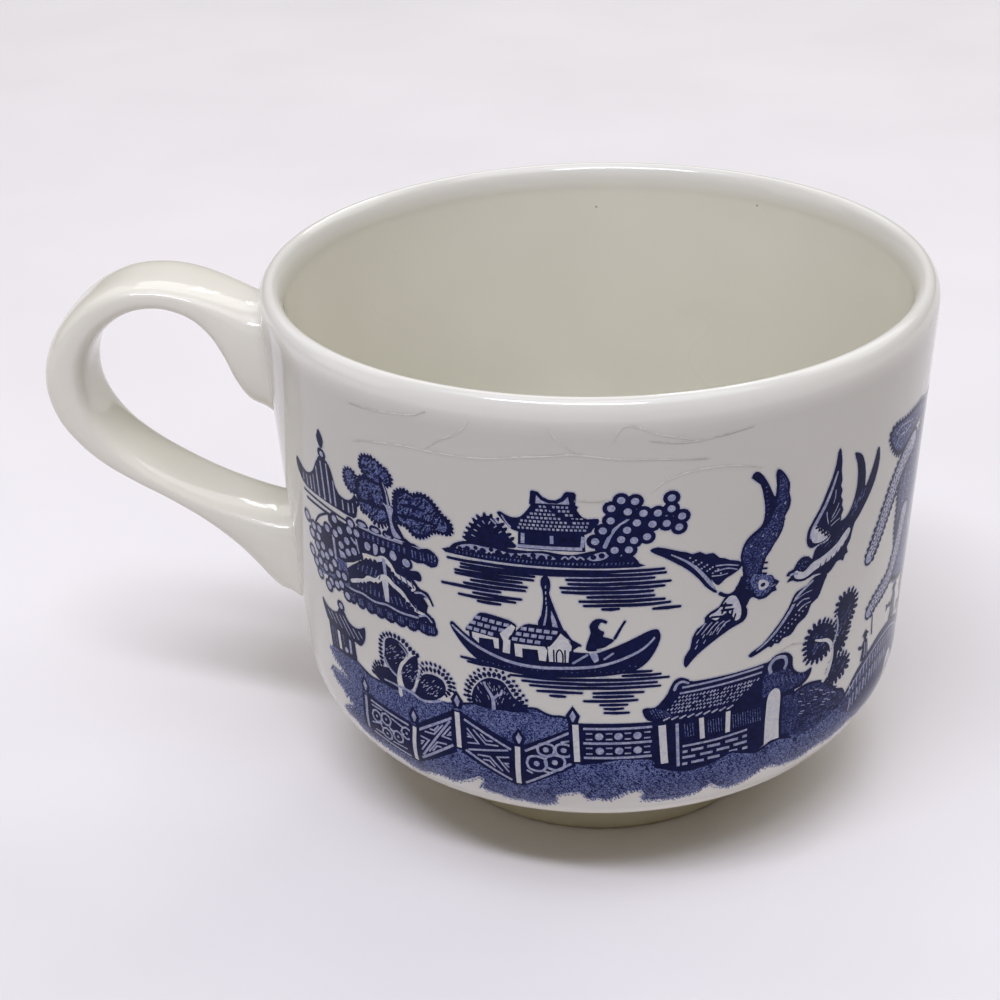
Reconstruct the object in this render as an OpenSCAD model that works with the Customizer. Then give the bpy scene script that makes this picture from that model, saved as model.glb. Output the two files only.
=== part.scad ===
// Flat-bottomed teacup with a strap handle, earthenware, with an underglaze print.
// The foot rests on the plane z = 0, the axis of the bowl is Z, and the handle points along -X.

/* [Bowl] */
// Diameter over the rim
rim_d = 86; // [82:1:90]
// Height from the resting plane to the top of the lip
cup_h = 71; // [70:0.5:76]
// Diameter where the straight wall meets the curve of the base
waist_d = 80; // [78:0.5:82]
// Height where the straight wall meets the curve of the base
waist_z = 22; // [20:0.5:24]
// Thickness of the fully rounded lip
lip_t = 3.2; // [2.8:0.1:3.6]
// Thickness of the wall at the waist
wall_t = 4.0; // [3.6:0.1:4.4]
// Height of the flat floor inside the bowl
floor_z = 8.4; // [8:0.1:9]
// Height of the underside inside the foot ring
under_z = 4.3; // [4:0.1:4.6]
// Height of the edge between the wall's lower curve and the underside
edge_z = 11.4; // [11:0.2:12]
// Height of the lip's roll, from where it leaves the outside wall
lip_out = 2.6; // [2:0.2:3]
// Height of the lip's roll, from where it leaves the inside wall
lip_in = 3.4; // [2.6:0.2:3.6]

/* [Foot] */
// Outer diameter of the foot ring
foot_d = 45.5; // [44:0.5:47]
// Inner diameter of the foot ring
foot_bore_d = 39; // [37:0.5:40]
// Width of the bevels beside the resting face
foot_bevel = 0.7; // [0.4:0.1:1]

/* [Handle] */
// Width of the strap, side to side
strap_w = 12.4; // [11:0.2:14]
// Extra width of the strap where it meets the bowl
strap_flare = 1.6; // [0.8:0.2:2.4]
// Squareness of the strap's section, where 2 is an ellipse
strap_power = 3.2; // [2:0.1:3.4]
// Points round the strap's section
strap_sides = 28; // [16:4:36]
// Rings between two stations of the strap
strap_steps = 3; // [2:1:4]

/* [Coats] */
// Thickness of the glaze
glaze_t = 0.25; // [0.2:0.05:0.35]
// Thickness of the printed band under the glaze
print_t = 0.1; // [0.05:0.05:0.1]
// Lowest edge of the printed band
print_lo = 15; // [14:0.5:18]
// Highest edge of the printed band
print_hi = 61; // [55:0.5:63]
// Thickness of the slip that joins the handle to the bowl
slip_t = 0.45; // [0.4:0.05:0.6]

/* [Hidden] */
$fn = 96;

rim_r = rim_d / 2;
waist_r = waist_d / 2;
lip_r = lip_t / 2;
lip_z = cup_h - lip_out;
foot_r = foot_d / 2;
bore_r = foot_bore_d / 2;
// The wall's lower curve is part of an ellipse, which stops at the edge of the underside.
base_c = 13;
base_a = waist_r - base_c;
base_b = 18.45;
edge_t = asin((waist_z - edge_z) / base_b);
edge_r = base_c + base_a * cos(edge_t);
// The inner base curve, from the inner wall down to the flat floor.
in_waist_z = waist_z + 3;
in_r = waist_r - wall_t;
in_c = 15;
in_a = in_r - in_c;
in_b = in_waist_z - floor_z;
// Where the underside passes the foot ring, as a share of its slope.
foot_u = (foot_r + 0.6 - base_c) / (edge_r - base_c);

// Handle, seen from the side: pairs of points on its outer and inner edge,
// [distance from the axis, height], from the upper joint round to the lower one.
STRAP = [
    [[37.5, 62.6], [39.0, 52.9]],
    [[40.0, 64.2], [42.4, 52.95]],
    [[42.5, 65.6], [44.9, 53.7]],
    [[44.6, 66.8], [46.7, 56.3]],
    [[46.6, 67.7], [47.9, 59.6]],
    [[48.8, 68.6], [49.3, 62.6]],
    [[51.2, 69.4], [51.3, 65.0]],
    [[53.8, 70.0], [53.9, 66.4]],
    [[56.8, 70.3], [56.6, 66.8]],
    [[60.9, 69.9], [59.6, 66.2]],
    [[65.2, 68.0], [62.5, 64.4]],
    [[68.8, 64.8], [64.7, 61.8]],
    [[71.2, 60.7], [65.9, 59.0]],
    [[72.0, 56.2], [66.2, 56.3]],
    [[71.0, 51.8], [65.9, 53.6]],
    [[68.6, 48.1], [64.8, 50.8]],
    [[65.3, 45.0], [62.8, 47.9]],
    [[61.4, 42.5], [59.8, 45.1]],
    [[57.2, 40.1], [56.0, 42.5]],
    [[53.5, 37.5], [52.0, 40.4]],
    [[50.6, 34.9], [48.2, 38.9]],
    [[48.2, 32.3], [44.7, 37.8]],
    [[46.2, 29.7], [41.2, 36.9]],
    [[44.5, 27.4], [38.5, 36.0]],
    [[42.8, 26.0], [36.0, 34.4]],
    [[39.5, 25.6], [34.0, 32.0]]
];
UPPER_Z = [52.4, 66.2];
LOWER_Z = [23.6, 37.4];

function base_pt(t) = [base_c + base_a * cos(t), waist_z - base_b * sin(t)];
// Underside, from its level middle (u = 0) out to the edge (u = 1).
function under_pt(u) = [base_c + (edge_r - base_c) * u, under_z + (edge_z - under_z) * pow(u, 1.5)];
// The eased edge, from the underside (v = 0) to the wall (v = 1).
function edge_pt(v) = let (a = under_pt(0.975), c = under_pt(1), b = base_pt(edge_t - 2))
    a * pow(1 - v, 2) + c * 2 * v * (1 - v) + b * pow(v, 2);
function in_pt(t) = [in_c + in_a * cos(t), in_waist_z - in_b * sin(t)];
function unit(v) = v / norm(v);
// Left-hand normal of a chain of points at point i.
function side(P, i) =
    let (a = P[max(i - 1, 0)], b = P[min(i + 1, len(P) - 1)], d = unit(b - a)) [d[1], -d[0]];
// The chain moved sideways into the clay by t.
function inset(P, t) = [for (i = [0:len(P) - 1])
    [max(0, P[i][0] - t * side(P, i)[0]), P[i][1] - t * side(P, i)[1]]];
function rev(P) = [for (i = [len(P) - 1:-1:0]) P[i]];

// Places in the outside's chain of points where the printed band begins and ends.
LO = 10;
HI = LO + 6;
print_a = asin((waist_z - print_lo) / base_b);
// Finished surface of the outside, from the foot up to the top of the lip.
OUTER = concat(
    [for (i = [0:3]) under_pt(foot_u + (0.975 - foot_u) * i / 4)],
    [for (i = [0:4]) edge_pt(i / 4)],
    [base_pt((edge_t - 2 + print_a) / 2), base_pt(print_a)],
    [for (i = [1:5]) base_pt(print_a * (1 - i / 5))],
    [[wall_r(print_hi), print_hi]],
    [for (a = [0:10:90]) [rim_r - lip_r + lip_r * cos(a), lip_z + lip_out * sin(a)]]);
// Finished surface of the inside, from the top of the lip down to the centre of the floor.
INNER = concat(
    [for (a = [90:10:180]) [rim_r - lip_r + lip_r * cos(a), cup_h - lip_in + lip_in * sin(a)]],
    [for (i = [0:12]) in_pt(i * 7.5)],
    [[0, floor_z]]);
SKIN = concat(OUTER, [for (i = [1:len(INNER) - 1]) INNER[i]]);
CLAY = inset(SKIN, glaze_t);
N_OUT = len(OUTER);
CLAY_OUT = [for (i = [0:N_OUT - 1]) CLAY[i]];
PRINT_TOP = inset(OUTER, glaze_t - print_t);
CLAY_IN = [for (i = [N_OUT - 1:len(CLAY) - 1]) CLAY[i]];

// Radius of the finished wall at a height on its straight part.
function wall_r(z) = waist_r + (rim_r - waist_r) * (z - waist_z) / (lip_z - waist_z);

function se(v) = sign(v) * pow(abs(v), 2 / strap_power);
function mid(a, b, c, d, u) = 0.5 * (2 * b + (c - a) * u + (2 * a - 5 * b + 4 * c - d) * u * u
    + (3 * b - a - 3 * c + d) * u * u * u);
function pick(k, e) = STRAP[max(0, min(len(STRAP) - 1, k))][e];
function edge(s, e) = let (k = floor(s), u = s - k)
    mid(pick(k - 1, e), pick(k, e), pick(k + 1, e), pick(k + 2, e), u);
function flare(s) = let (n = len(STRAP) - 1, d = min(s, n - s)) d > 6 ? 0 : pow(1 - d / 6, 2);
function strap_ring(s) = let (o = edge(s, 0), i = edge(s, 1), c = (o + i) / 2, e = (o - i) / 2,
    w = strap_w / 2 + strap_flare / 2 * flare(s))
    [for (j = [0:strap_sides - 1]) let (a = 360 * j / strap_sides, m = c + e * se(cos(a)))
        [-m[0], w * se(sin(a)), m[1]]];

module strap() {
    n = (len(STRAP) - 1) * strap_steps;
    m = strap_sides;
    pts = [for (k = [0:n]) each strap_ring(min(k / strap_steps, len(STRAP) - 1.0001))];
    faces = concat(
        [[for (j = [0:m - 1]) j]],
        [for (k = [0:n - 1], j = [0:m - 1]) let (a = k * m + j, b = k * m + (j + 1) % m)
            [a, a + m, b + m, b]],
        [[for (j = [m - 1:-1:0]) n * m + j]]);
    polyhedron(pts, faces);
}

// Everything inside the clay's outer surface and a little more.
module wall_solid(t) {
    z0 = waist_z - 8;
    rotate_extrude()
        polygon([[0, z0], [wall_r(z0) - glaze_t + t, z0], [wall_r(cup_h) - glaze_t + t, cup_h], [0, cup_h]]);
}

// Straight prism with rounded corners, through the wall on the handle's side.
module footprint(z, grow) {
    w = strap_w / 2 + strap_flare / 2 + grow;
    r = 4;
    translate([-rim_r - 5, 0, 0]) rotate([90, 0, 90]) linear_extrude(15) union() {
        translate([-w, z[0] - grow + r]) square([2 * w, z[1] - z[0] + 2 * grow - 2 * r]);
        translate([-w + r, z[0] - grow]) square([2 * w - 2 * r, z[1] - z[0] + 2 * grow]);
        for (x = [-w + r, w - r], y = [z[0] - grow + r, z[1] + grow - r]) translate([x, y]) circle(r);
    }
}

module slip_pad(z) {
    intersection() {
        difference() {
            wall_solid(slip_t);
            wall_solid(0);
        }
        footprint(z, 0.4);
    }
}

// Thrown bowl: wall, rounded lip and floor, in bare fired clay.
module cup_bowl() {
    color([0.93, 0.91, 0.86]) rotate_extrude()
        polygon(concat([[0, under_z]], [for (i = [0:3]) under_pt(foot_u * i / 4)], CLAY_OUT,
                       [for (i = [1:len(CLAY_IN) - 1]) CLAY_IN[i]]));
}

// Foot ring that the cup stands on, cut to fit the underside of the bowl.
module foot_ring() {
    top = 9;
    color([0.88, 0.85, 0.78]) difference() {
        rotate_extrude()
            polygon([[bore_r + foot_bevel, 0], [foot_r - foot_bevel, 0], [foot_r, foot_bevel],
                     [foot_r + 0.5, top], [bore_r - 0.5, top], [bore_r, foot_bevel]]);
        rotate_extrude()
            polygon(concat([[0, under_z]], [for (i = [0:3]) under_pt(foot_u * i / 4)],
                           [for (i = [0:3]) CLAY_OUT[i]], [[0, 20]]));
    }
}

// Strap handle, cut to the bowl's wall with room for the slip.
module handle() {
    color([0.94, 0.93, 0.89]) difference() {
        strap();
        wall_solid(slip_t);
    }
}

// Slip under the handle's upper end.
module upper_slip_joint() { color([0.90, 0.88, 0.82]) slip_pad(UPPER_Z); }

// Slip under the handle's lower end.
module lower_slip_joint() { color([0.90, 0.88, 0.82]) slip_pad(LOWER_Z); }

// Band of underglaze blue, between the clay and the glaze, open where the slip joins the handle.
module transfer_print() {
    color([0.15, 0.18, 0.42]) difference() {
        rotate_extrude()
            polygon(concat([for (i = [LO:HI]) PRINT_TOP[i]], [for (i = [HI:-1:LO]) CLAY_OUT[i]]));
        footprint(UPPER_Z, 0.4);
        footprint(LOWER_Z, 0.4);
    }
}

// Glaze outside, from the foot ring up to the top of the lip, open where the slip joins the handle.
module outer_glaze() {
    color([0.95, 0.94, 0.90]) difference() {
        rotate_extrude()
            polygon(concat(OUTER, [for (i = [N_OUT - 1:-1:HI]) CLAY_OUT[i]],
                           [for (i = [HI:-1:LO]) PRINT_TOP[i]], [for (i = [LO:-1:0]) CLAY_OUT[i]]));
        footprint(UPPER_Z, 0.4);
        footprint(LOWER_Z, 0.4);
    }
}

// Glaze inside, from the top of the lip down over the floor.
module inner_glaze() {
    color([0.94, 0.93, 0.88]) rotate_extrude() polygon(concat(INNER, rev(CLAY_IN)));
}

cup_bowl();
foot_ring();
handle();
upper_slip_joint();
lower_slip_joint();
transfer_print();
outer_glaze();
inner_glaze();
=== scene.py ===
"""Willow-pattern teacup: looks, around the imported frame."""
import math
import random

import bpy
import numpy as np
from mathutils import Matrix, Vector
from mathutils.geometry import delaunay_2d_cdt


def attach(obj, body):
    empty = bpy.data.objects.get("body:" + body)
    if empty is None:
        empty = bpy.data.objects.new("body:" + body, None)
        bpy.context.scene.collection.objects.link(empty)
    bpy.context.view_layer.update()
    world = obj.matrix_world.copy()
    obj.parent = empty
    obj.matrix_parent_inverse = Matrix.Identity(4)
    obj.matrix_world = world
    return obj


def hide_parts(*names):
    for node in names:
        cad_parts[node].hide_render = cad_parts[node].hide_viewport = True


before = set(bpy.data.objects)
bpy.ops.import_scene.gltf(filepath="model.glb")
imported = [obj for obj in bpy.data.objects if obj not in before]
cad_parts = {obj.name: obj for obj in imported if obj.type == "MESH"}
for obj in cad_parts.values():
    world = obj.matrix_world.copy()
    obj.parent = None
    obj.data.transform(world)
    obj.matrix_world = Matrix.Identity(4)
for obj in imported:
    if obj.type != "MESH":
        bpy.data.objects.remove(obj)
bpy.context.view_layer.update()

MM = 0.001
pi, sin, cos, radians = math.pi, math.sin, math.cos, math.radians

# ---------------------------------------------------------------- camera


def make_camera():
    # seen from the front, a little to the right of the handle's mirror plane, 26.6 degrees up
    e = radians(26.599)
    roll = radians(-1.732)
    turn = radians(4.0)
    dist = 280.166
    cy, cz = -dist * cos(e), 39.284 + dist * sin(e)
    cx = -11.583

    def spin(v):
        return Vector((v[0] * cos(turn) - v[1] * sin(turn), v[0] * sin(turn) + v[1] * cos(turn), v[2]))

    right = Vector((1, 0, 0))
    up = Vector((0, sin(e), cos(e)))
    r2 = right * cos(roll) + up * sin(roll)
    u2 = -right * sin(roll) + up * cos(roll)
    c, r2, u2 = spin(Vector((cx, cy, cz))), spin(r2), spin(u2)
    back = r2.cross(u2)
    cam = bpy.data.cameras.new("camera")
    ob = bpy.data.objects.new("camera", cam)
    bpy.context.scene.collection.objects.link(ob)
    m = ob.matrix_world.copy()
    for i in range(3):
        m[i][0], m[i][1], m[i][2], m[i][3] = r2[i], u2[i], back[i], c[i] * MM
    ob.matrix_world = m
    cam.sensor_width = 36.0
    cam.sensor_fit = "HORIZONTAL"
    cam.lens = 2.09728 * 36.0
    cam.shift_x = -0.01214
    cam.shift_y = -0.00996
    cam.clip_start = 0.01
    cam.clip_end = 20.0
    bpy.context.scene.camera = ob
    return ob


make_camera()

# ---------------------------------------------------------------- the turned shape, in millimetres
RIM_R, CUP_H = 43.0, 71.0
WAIST_R, WAIST_Z = 40.0, 22.0
LIP_R = 1.6
LIP_OUT, LIP_IN = 2.6, 3.4
LIP_Z = CUP_H - LIP_OUT
BASE_C, BASE_B, UNDER_Z = 13.0, 18.45, 4.3
EDGE_Z = 11.4
IN_R, IN_Z, IN_C, FLOOR_Z = 36.0, 25.0, 15.0, 8.4
FOOT_R, BORE_R = 22.75, 19.5


def wall_r(z):
    """Radius of the finished outside at a height, on the wall and the base curve."""
    if z >= WAIST_Z:
        return WAIST_R + (RIM_R - WAIST_R) * (z - WAIST_Z) / (LIP_Z - WAIST_Z)
    s = (WAIST_Z - z) / BASE_B
    return BASE_C + (WAIST_R - BASE_C) * math.sqrt(max(0.0, 1 - s * s))


def wall_normal(z):
    """Outward normal (radial, vertical) of the finished outside."""
    if z >= WAIST_Z:
        a = math.atan2(RIM_R - WAIST_R, LIP_Z - WAIST_Z)
        return cos(a), -sin(a)
    a, b = WAIST_R - BASE_C, BASE_B
    s = (WAIST_Z - z) / b
    c = math.sqrt(max(0.0, 1 - s * s))
    n = (c / a, -s / b)
    k = math.hypot(*n)
    return n[0] / k, n[1] / k


def bowl_profile():
    """One chain of (r, z) from under the floor, round the outside, over the lip, down to the floor's centre."""
    p = []
    a, b = WAIST_R - BASE_C, BASE_B
    te = math.asin((WAIST_Z - EDGE_Z) / b)
    er = BASE_C + a * cos(te)

    def under(u):
        return BASE_C + (er - BASE_C) * u, UNDER_Z + (EDGE_Z - UNDER_Z) * u ** 1.5

    for r in np.linspace(0, BASE_C, 8)[:-1]:
        p.append((r, UNDER_Z))
    for u in np.linspace(0, 0.975, 40)[:-1]:
        p.append(under(u))
    # the eased edge where the wall turns under
    t1 = te - radians(2)
    q = (under(0.975), (er, EDGE_Z), (BASE_C + a * cos(t1), WAIST_Z - b * math.sin(t1)))
    for v in np.linspace(0, 1, 9)[:-1]:
        p.append(tuple(q[0][i] * (1 - v) ** 2 + q[1][i] * 2 * v * (1 - v) + q[2][i] * v * v for i in (0, 1)))
    for t in np.linspace(t1, 0, 40):
        p.append((BASE_C + a * cos(t), WAIST_Z - b * math.sin(t)))
    # the lip: a soft roll, a little taller than it is wide on both sides
    lo = CUP_H - LIP_OUT
    cr = wall_r(lo) - LIP_R - 0.03
    for z in np.linspace(WAIST_Z, lo - 0.3, 60)[1:]:
        p.append((wall_r(z), z))
    for t in np.linspace(4, 90, 30):
        r = cr + 0.03 + (LIP_R) * cos(radians(t))
        p.append((r, lo + LIP_OUT * sin(radians(t))))
    for t in np.linspace(90, 180, 30)[1:]:
        p.append((cr + 0.03 + LIP_R * cos(radians(t)), CUP_H - LIP_IN + LIP_IN * sin(radians(t))))
    top = p[-1]
    for s in np.linspace(0, 1, 60)[1:]:
        p.append((top[0] + (IN_R - top[0]) * s, top[1] + (IN_Z - top[1]) * s))
    for t in np.linspace(0, 90, 56)[1:]:
        p.append((IN_C + (IN_R - IN_C) * cos(radians(t)), IN_Z - (IN_Z - FLOOR_Z) * sin(radians(t))))
    for r in np.linspace(IN_C, 0, 10)[1:]:
        p.append((r, FLOOR_Z))
    return p


def new_object(name, verts, faces, smooth=True):
    me = bpy.data.meshes.new(name)
    me.from_pydata(verts, [], faces)
    me.validate()
    if smooth:
        me.polygons.foreach_set("use_smooth", [True] * len(me.polygons))
    me.update()
    ob = bpy.data.objects.new(name, me)
    bpy.context.scene.collection.objects.link(ob)
    return ob


def turn(name, prof, n=360, closed=False, wobble=None, tags=None):
    """A solid of revolution; points with r = 0 become single poles. tags gives each profile point a value to paint by."""
    verts, rings = [], []
    for k, (r, z) in enumerate(prof):
        if r < 1e-6:
            rings.append([len(verts)])
            verts.append((0, 0, z * MM))
            continue
        ring = []
        for i in range(n):
            t = 2 * pi * i / n
            dr, dz = wobble(r, z, t) if wobble else (0, 0)
            ring.append(len(verts))
            verts.append(((r + dr) * cos(t) * MM, (r + dr) * sin(t) * MM, (z + dz) * MM))
        rings.append(ring)
    faces = []
    pairs = list(zip(rings, rings[1:])) + ([(rings[-1], rings[0])] if closed else [])
    for a, b in pairs:
        for i in range(n):
            j = (i + 1) % n
            if len(a) == 1 and len(b) == 1:
                break
            if len(a) == 1:
                faces.append((a[0], b[j], b[i]))
            elif len(b) == 1:
                faces.append((a[i], a[j], b[0]))
            else:
                faces.append((a[i], a[j], b[j], b[i]))
    ob = new_object(name, verts, faces)
    if tags:
        at = ob.data.attributes.new("inside", "FLOAT", "POINT")
        vals = [0.0] * len(ob.data.vertices)
        for ring, t in zip(rings, tags):
            for i in ring:
                vals[i] = t
        at.data.foreach_set("value", vals)
    return ob


# pairs of points on the strap's outer and inner edge: distance from the axis, height
STRAP = [
    ((37.5, 62.6), (39.0, 52.9)), ((40.0, 64.2), (42.4, 52.95)), ((42.5, 65.6), (44.9, 53.7)),
    ((44.6, 66.8), (46.7, 56.3)), ((46.6, 67.7), (47.9, 59.6)), ((48.8, 68.6), (49.3, 62.6)),
    ((51.2, 69.4), (51.3, 65.0)), ((53.8, 70.0), (53.9, 66.4)), ((56.8, 70.3), (56.6, 66.8)),
    ((60.9, 69.9), (59.6, 66.2)), ((65.2, 68.0), (62.5, 64.4)), ((68.8, 64.8), (64.7, 61.8)),
    ((71.2, 60.7), (65.9, 59.0)), ((72.0, 56.2), (66.2, 56.3)), ((71.0, 51.8), (65.9, 53.6)),
    ((68.6, 48.1), (64.8, 50.8)), ((65.3, 45.0), (62.8, 47.9)), ((61.4, 42.5), (59.8, 45.1)),
    ((57.2, 40.1), (56.0, 42.5)), ((53.5, 37.5), (52.0, 40.4)), ((50.6, 34.9), (48.2, 38.9)),
    ((48.2, 32.3), (44.7, 37.8)), ((46.2, 29.7), (41.2, 36.9)), ((44.5, 27.4), (38.5, 36.0)),
    ((42.8, 26.0), (36.0, 34.4)), ((39.5, 25.6), (34.0, 32.0)),
]


def catmull(a, b, c, d, u):
    return 0.5 * (2 * b + (c - a) * u + (2 * a - 5 * b + 4 * c - d) * u * u + (3 * b - a - 3 * c + d) * u ** 3)


def strap_edge(s, e):
    k = int(math.floor(s))
    k = min(k, len(STRAP) - 2)
    u = s - k
    q = [np.array(STRAP[max(0, min(len(STRAP) - 1, k + j))][e]) for j in (-1, 0, 1, 2)]
    return catmull(*q, u)


def make_handle():
    n = len(STRAP) - 1
    m = 64
    rings = []
    for s in np.linspace(0, n, 10 * n + 1):
        o, i = strap_edge(s, 0), strap_edge(s, 1)
        c, e = (o + i) / 2, (o - i) / 2
        d = min(s, n - s)
        f = 0 if d > 6 else (1 - d / 6) ** 2
        w = 6.2 + 0.8 * f
        ring = []
        for j in range(m):
            a = 2 * pi * j / m
            p = 2 / 3.2
            ca, sa = cos(a), sin(a)
            x = math.copysign(abs(ca) ** p, ca)
            y = math.copysign(abs(sa) ** p, sa)
            q = c + e * x
            v = np.array((-q[0], w * y, q[1]))
            mid = np.array((-c[0], 0.0, c[1]))
            # the strap spreads where it meets the wall, and stops halfway into it
            rad = math.hypot(v[0], v[1])
            gap = rad - wall_r(v[2])
            if gap < 2.4:
                k = 0.8 * (1 - max(0.0, gap) / 2.4) ** 2
                out = v - mid
                v = v + out / np.linalg.norm(out) * k
                v[2] = min(v[2], CUP_H - 2.2) if s < n / 2 else v[2]
            rad = math.hypot(v[0], v[1])
            stop = wall_r(v[2]) - 2.0
            if rad < stop:
                v[0] *= stop / rad
                v[1] *= stop / rad
            ring.append(tuple(v * MM))
        rings.append(ring)
    verts = [v for r in rings for v in r]
    faces = []
    for k in range(len(rings) - 1):
        for j in range(m):
            a, b = k * m + j, k * m + (j + 1) % m
            faces.append((a, b, b + m, a + m))
    faces.append(tuple(range(m))[::-1])
    faces.append(tuple((len(rings) - 1) * m + j for j in range(m)))
    return new_object("handle_strap", verts, faces)


def make_foot():
    """Foot ring: a turned band, eased at its resting edge, with a small hollow where it meets the cup."""
    p = []
    for t in np.linspace(-90, 0, 9):
        p.append((FOOT_R - 0.7 + 0.7 * cos(radians(t)), 0.7 + 0.7 * sin(radians(t))))
    for z in np.linspace(1.2, 5.0, 6):
        p.append((FOOT_R - 0.1 * sin(pi * (z - 0.7) / 6.0), z))
    for t in np.linspace(0, 1, 8)[1:]:
        p.append((FOOT_R + 1.6 * t * t, 5.0 + 1.95 * t))
    p.append((FOOT_R + 1.2, 7.9))
    p.append((BORE_R - 1.0, 6.6))
    for t in np.linspace(1, 0, 7)[:-1]:
        p.append((BORE_R - 1.0 * t * t, 3.7 + 1.7 * t))
    for z in np.linspace(3.0, 1.2, 4):
        p.append((BORE_R, z))
    for t in np.linspace(180, 270, 9):
        p.append((BORE_R + 0.7 + 0.7 * cos(radians(t)), 0.7 + 0.7 * sin(radians(t))))
    return turn("foot_ring_turned", p, 240, closed=True)


# ---------------------------------------------------------------- materials


class Nodes:
    """Short way to build a node tree."""

    def __init__(self, name):
        self.mat = bpy.data.materials.new(name)
        self.mat.use_nodes = True
        self.t = self.mat.node_tree
        self.t.nodes.clear()
        self.out = self.t.nodes.new("ShaderNodeOutputMaterial")
        self.bsdf = self.t.nodes.new("ShaderNodeBsdfPrincipled")
        self.link(self.bsdf.outputs[0], self.out.inputs["Surface"])

    def link(self, a, b):
        self.t.links.new(a, b)

    def new(self, kind, **props):
        n = self.t.nodes.new(kind)
        for k, v in props.items():
            setattr(n, k, v)
        return n

    def put(self, node, **vals):
        for k, v in vals.items():
            s = node.inputs[k.replace("_", " ")]
            if hasattr(v, "is_output") or isinstance(v, bpy.types.NodeSocket):
                self.link(v, s)
            else:
                s.default_value = v
        return node

    def pos(self, scale=1.0):
        """Object-space position in millimetres over scale."""
        tc = self.new("ShaderNodeTexCoord")
        mp = self.new("ShaderNodeMapping")
        mp.inputs["Scale"].default_value = (1000.0 / scale,) * 3
        self.link(tc.outputs["Object"], mp.inputs["Vector"])
        return mp.outputs[0]

    def noise(self, size, detail=2.0, rough=0.5, vec=None, distort=0.0):
        n = self.new("ShaderNodeTexNoise")
        n.inputs["Scale"].default_value = 1.0
        n.inputs["Detail"].default_value = detail
        n.inputs["Roughness"].default_value = rough
        n.inputs["Distortion"].default_value = distort
        self.link(vec if vec is not None else self.pos(size), n.inputs["Vector"])
        return n.outputs["Fac"]

    def ramp(self, fac, stops, interp="LINEAR"):
        r = self.new("ShaderNodeValToRGB")
        r.color_ramp.interpolation = interp
        e = r.color_ramp.elements
        while len(e) < len(stops):
            e.new(0.5)
        for el, (p, c) in zip(e, stops):
            el.position = p
            el.color = tuple(c) + (1,) if len(c) == 3 else c
        self.link(fac, r.inputs["Fac"])
        return r.outputs["Color"]

    def grey(self, fac, stops, interp="LINEAR"):
        return self.ramp(fac, [(p, (v, v, v)) for p, v in stops], interp)

    def math(self, op, a, b=None, c=None, clamp=False):
        m = self.new("ShaderNodeMath", operation=op, use_clamp=clamp)
        for s, v in zip(m.inputs, (a, b, c)):
            if v is None:
                continue
            if isinstance(v, (int, float)):
                s.default_value = v
            else:
                self.link(v, s)
        return m.outputs[0]

    def mix(self, fac, a, b, blend="MIX"):
        m = self.new("ShaderNodeMix", data_type="RGBA", blend_type=blend)
        for k, v in ((0, fac), (6, a), (7, b)):
            if isinstance(v, (int, float)):
                m.inputs[k].default_value = v
            elif isinstance(v, (tuple, list)):
                m.inputs[k].default_value = tuple(v) + (1,) if len(v) == 3 else v
            else:
                self.link(v, m.inputs[k])
        return m.outputs[2]

    def bump(self, height, strength, dist_mm, normal=None):
        b = self.new("ShaderNodeBump")
        b.inputs["Strength"].default_value = strength
        b.inputs["Distance"].default_value = dist_mm * MM
        self.link(height, b.inputs["Height"])
        if normal is not None:
            self.link(normal, b.inputs["Normal"])
        return b.outputs[0]


def srgb(r, g, b):
    def f(v):
        v /= 255.0
        return v / 12.92 if v <= 0.04045 else ((v + 0.055) / 1.055) ** 2.4

    return (f(r), f(g), f(b))

# ---------------------------------------------------------------- the printed picture
# Drawn flat, in degrees round the cup and millimetres of height. Later shapes cover earlier ones.
# D is dark ink, S and T stippled blue, H blue run in a small opening, L the faintest blue, W and V bare glaze.
# A shape turns into (ink, polygon) with x in millimetres.
KU = 0.7156
ART = []
rnd = random.Random(41)


def _m(pts):
    return [(p[0] * KU, p[1]) for p in pts]


def _area(p):
    return sum(a[0] * b[1] - b[0] * a[1] for a, b in zip(p, p[1:] + p[:1])) / 2


def _add(ink, p):
    if len(p) < 3:
        return
    a = _area(p)
    if abs(a) < 1e-4:
        return
    ART.append((ink, p if a > 0 else p[::-1]))


def P(ink, pts):
    """Straight-sided polygon."""
    _add(ink, _m(pts))


def _cr(p, closed, n):
    out = []
    m = len(p)
    for i in range(m if closed else m - 1):
        q = [p[(i + j) % m] if closed else p[max(0, min(m - 1, i + j))] for j in (-1, 0, 1, 2)]
        for k in range(n):
            u = k / n
            out.append(tuple(
                0.5 * (2 * q[1][c] + (q[2][c] - q[0][c]) * u
                       + (2 * q[0][c] - 5 * q[1][c] + 4 * q[2][c] - q[3][c]) * u * u
                       + (3 * q[1][c] - q[0][c] - 3 * q[2][c] + q[3][c]) * u ** 3) for c in (0, 1)))
    if not closed:
        out.append(p[-1])
    return out


def B(ink, pts, n=4):
    """Smooth closed shape through its points."""
    _add(ink, _cr(_m(pts), True, n))


def disc(ink, x, z, r, n=None, sx=1.0, rot=0.0):
    n = n or max(8, int(14 * math.sqrt(r)) + 4)
    c, s = cos(radians(rot)), sin(radians(rot))
    pts = []
    for k in range(n):
        a = 2 * pi * k / n
        px, py = r * sx * cos(a), r * sin(a)
        pts.append((x * KU + px * c - py * s, z + px * s + py * c))
    _add(ink, pts)


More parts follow.
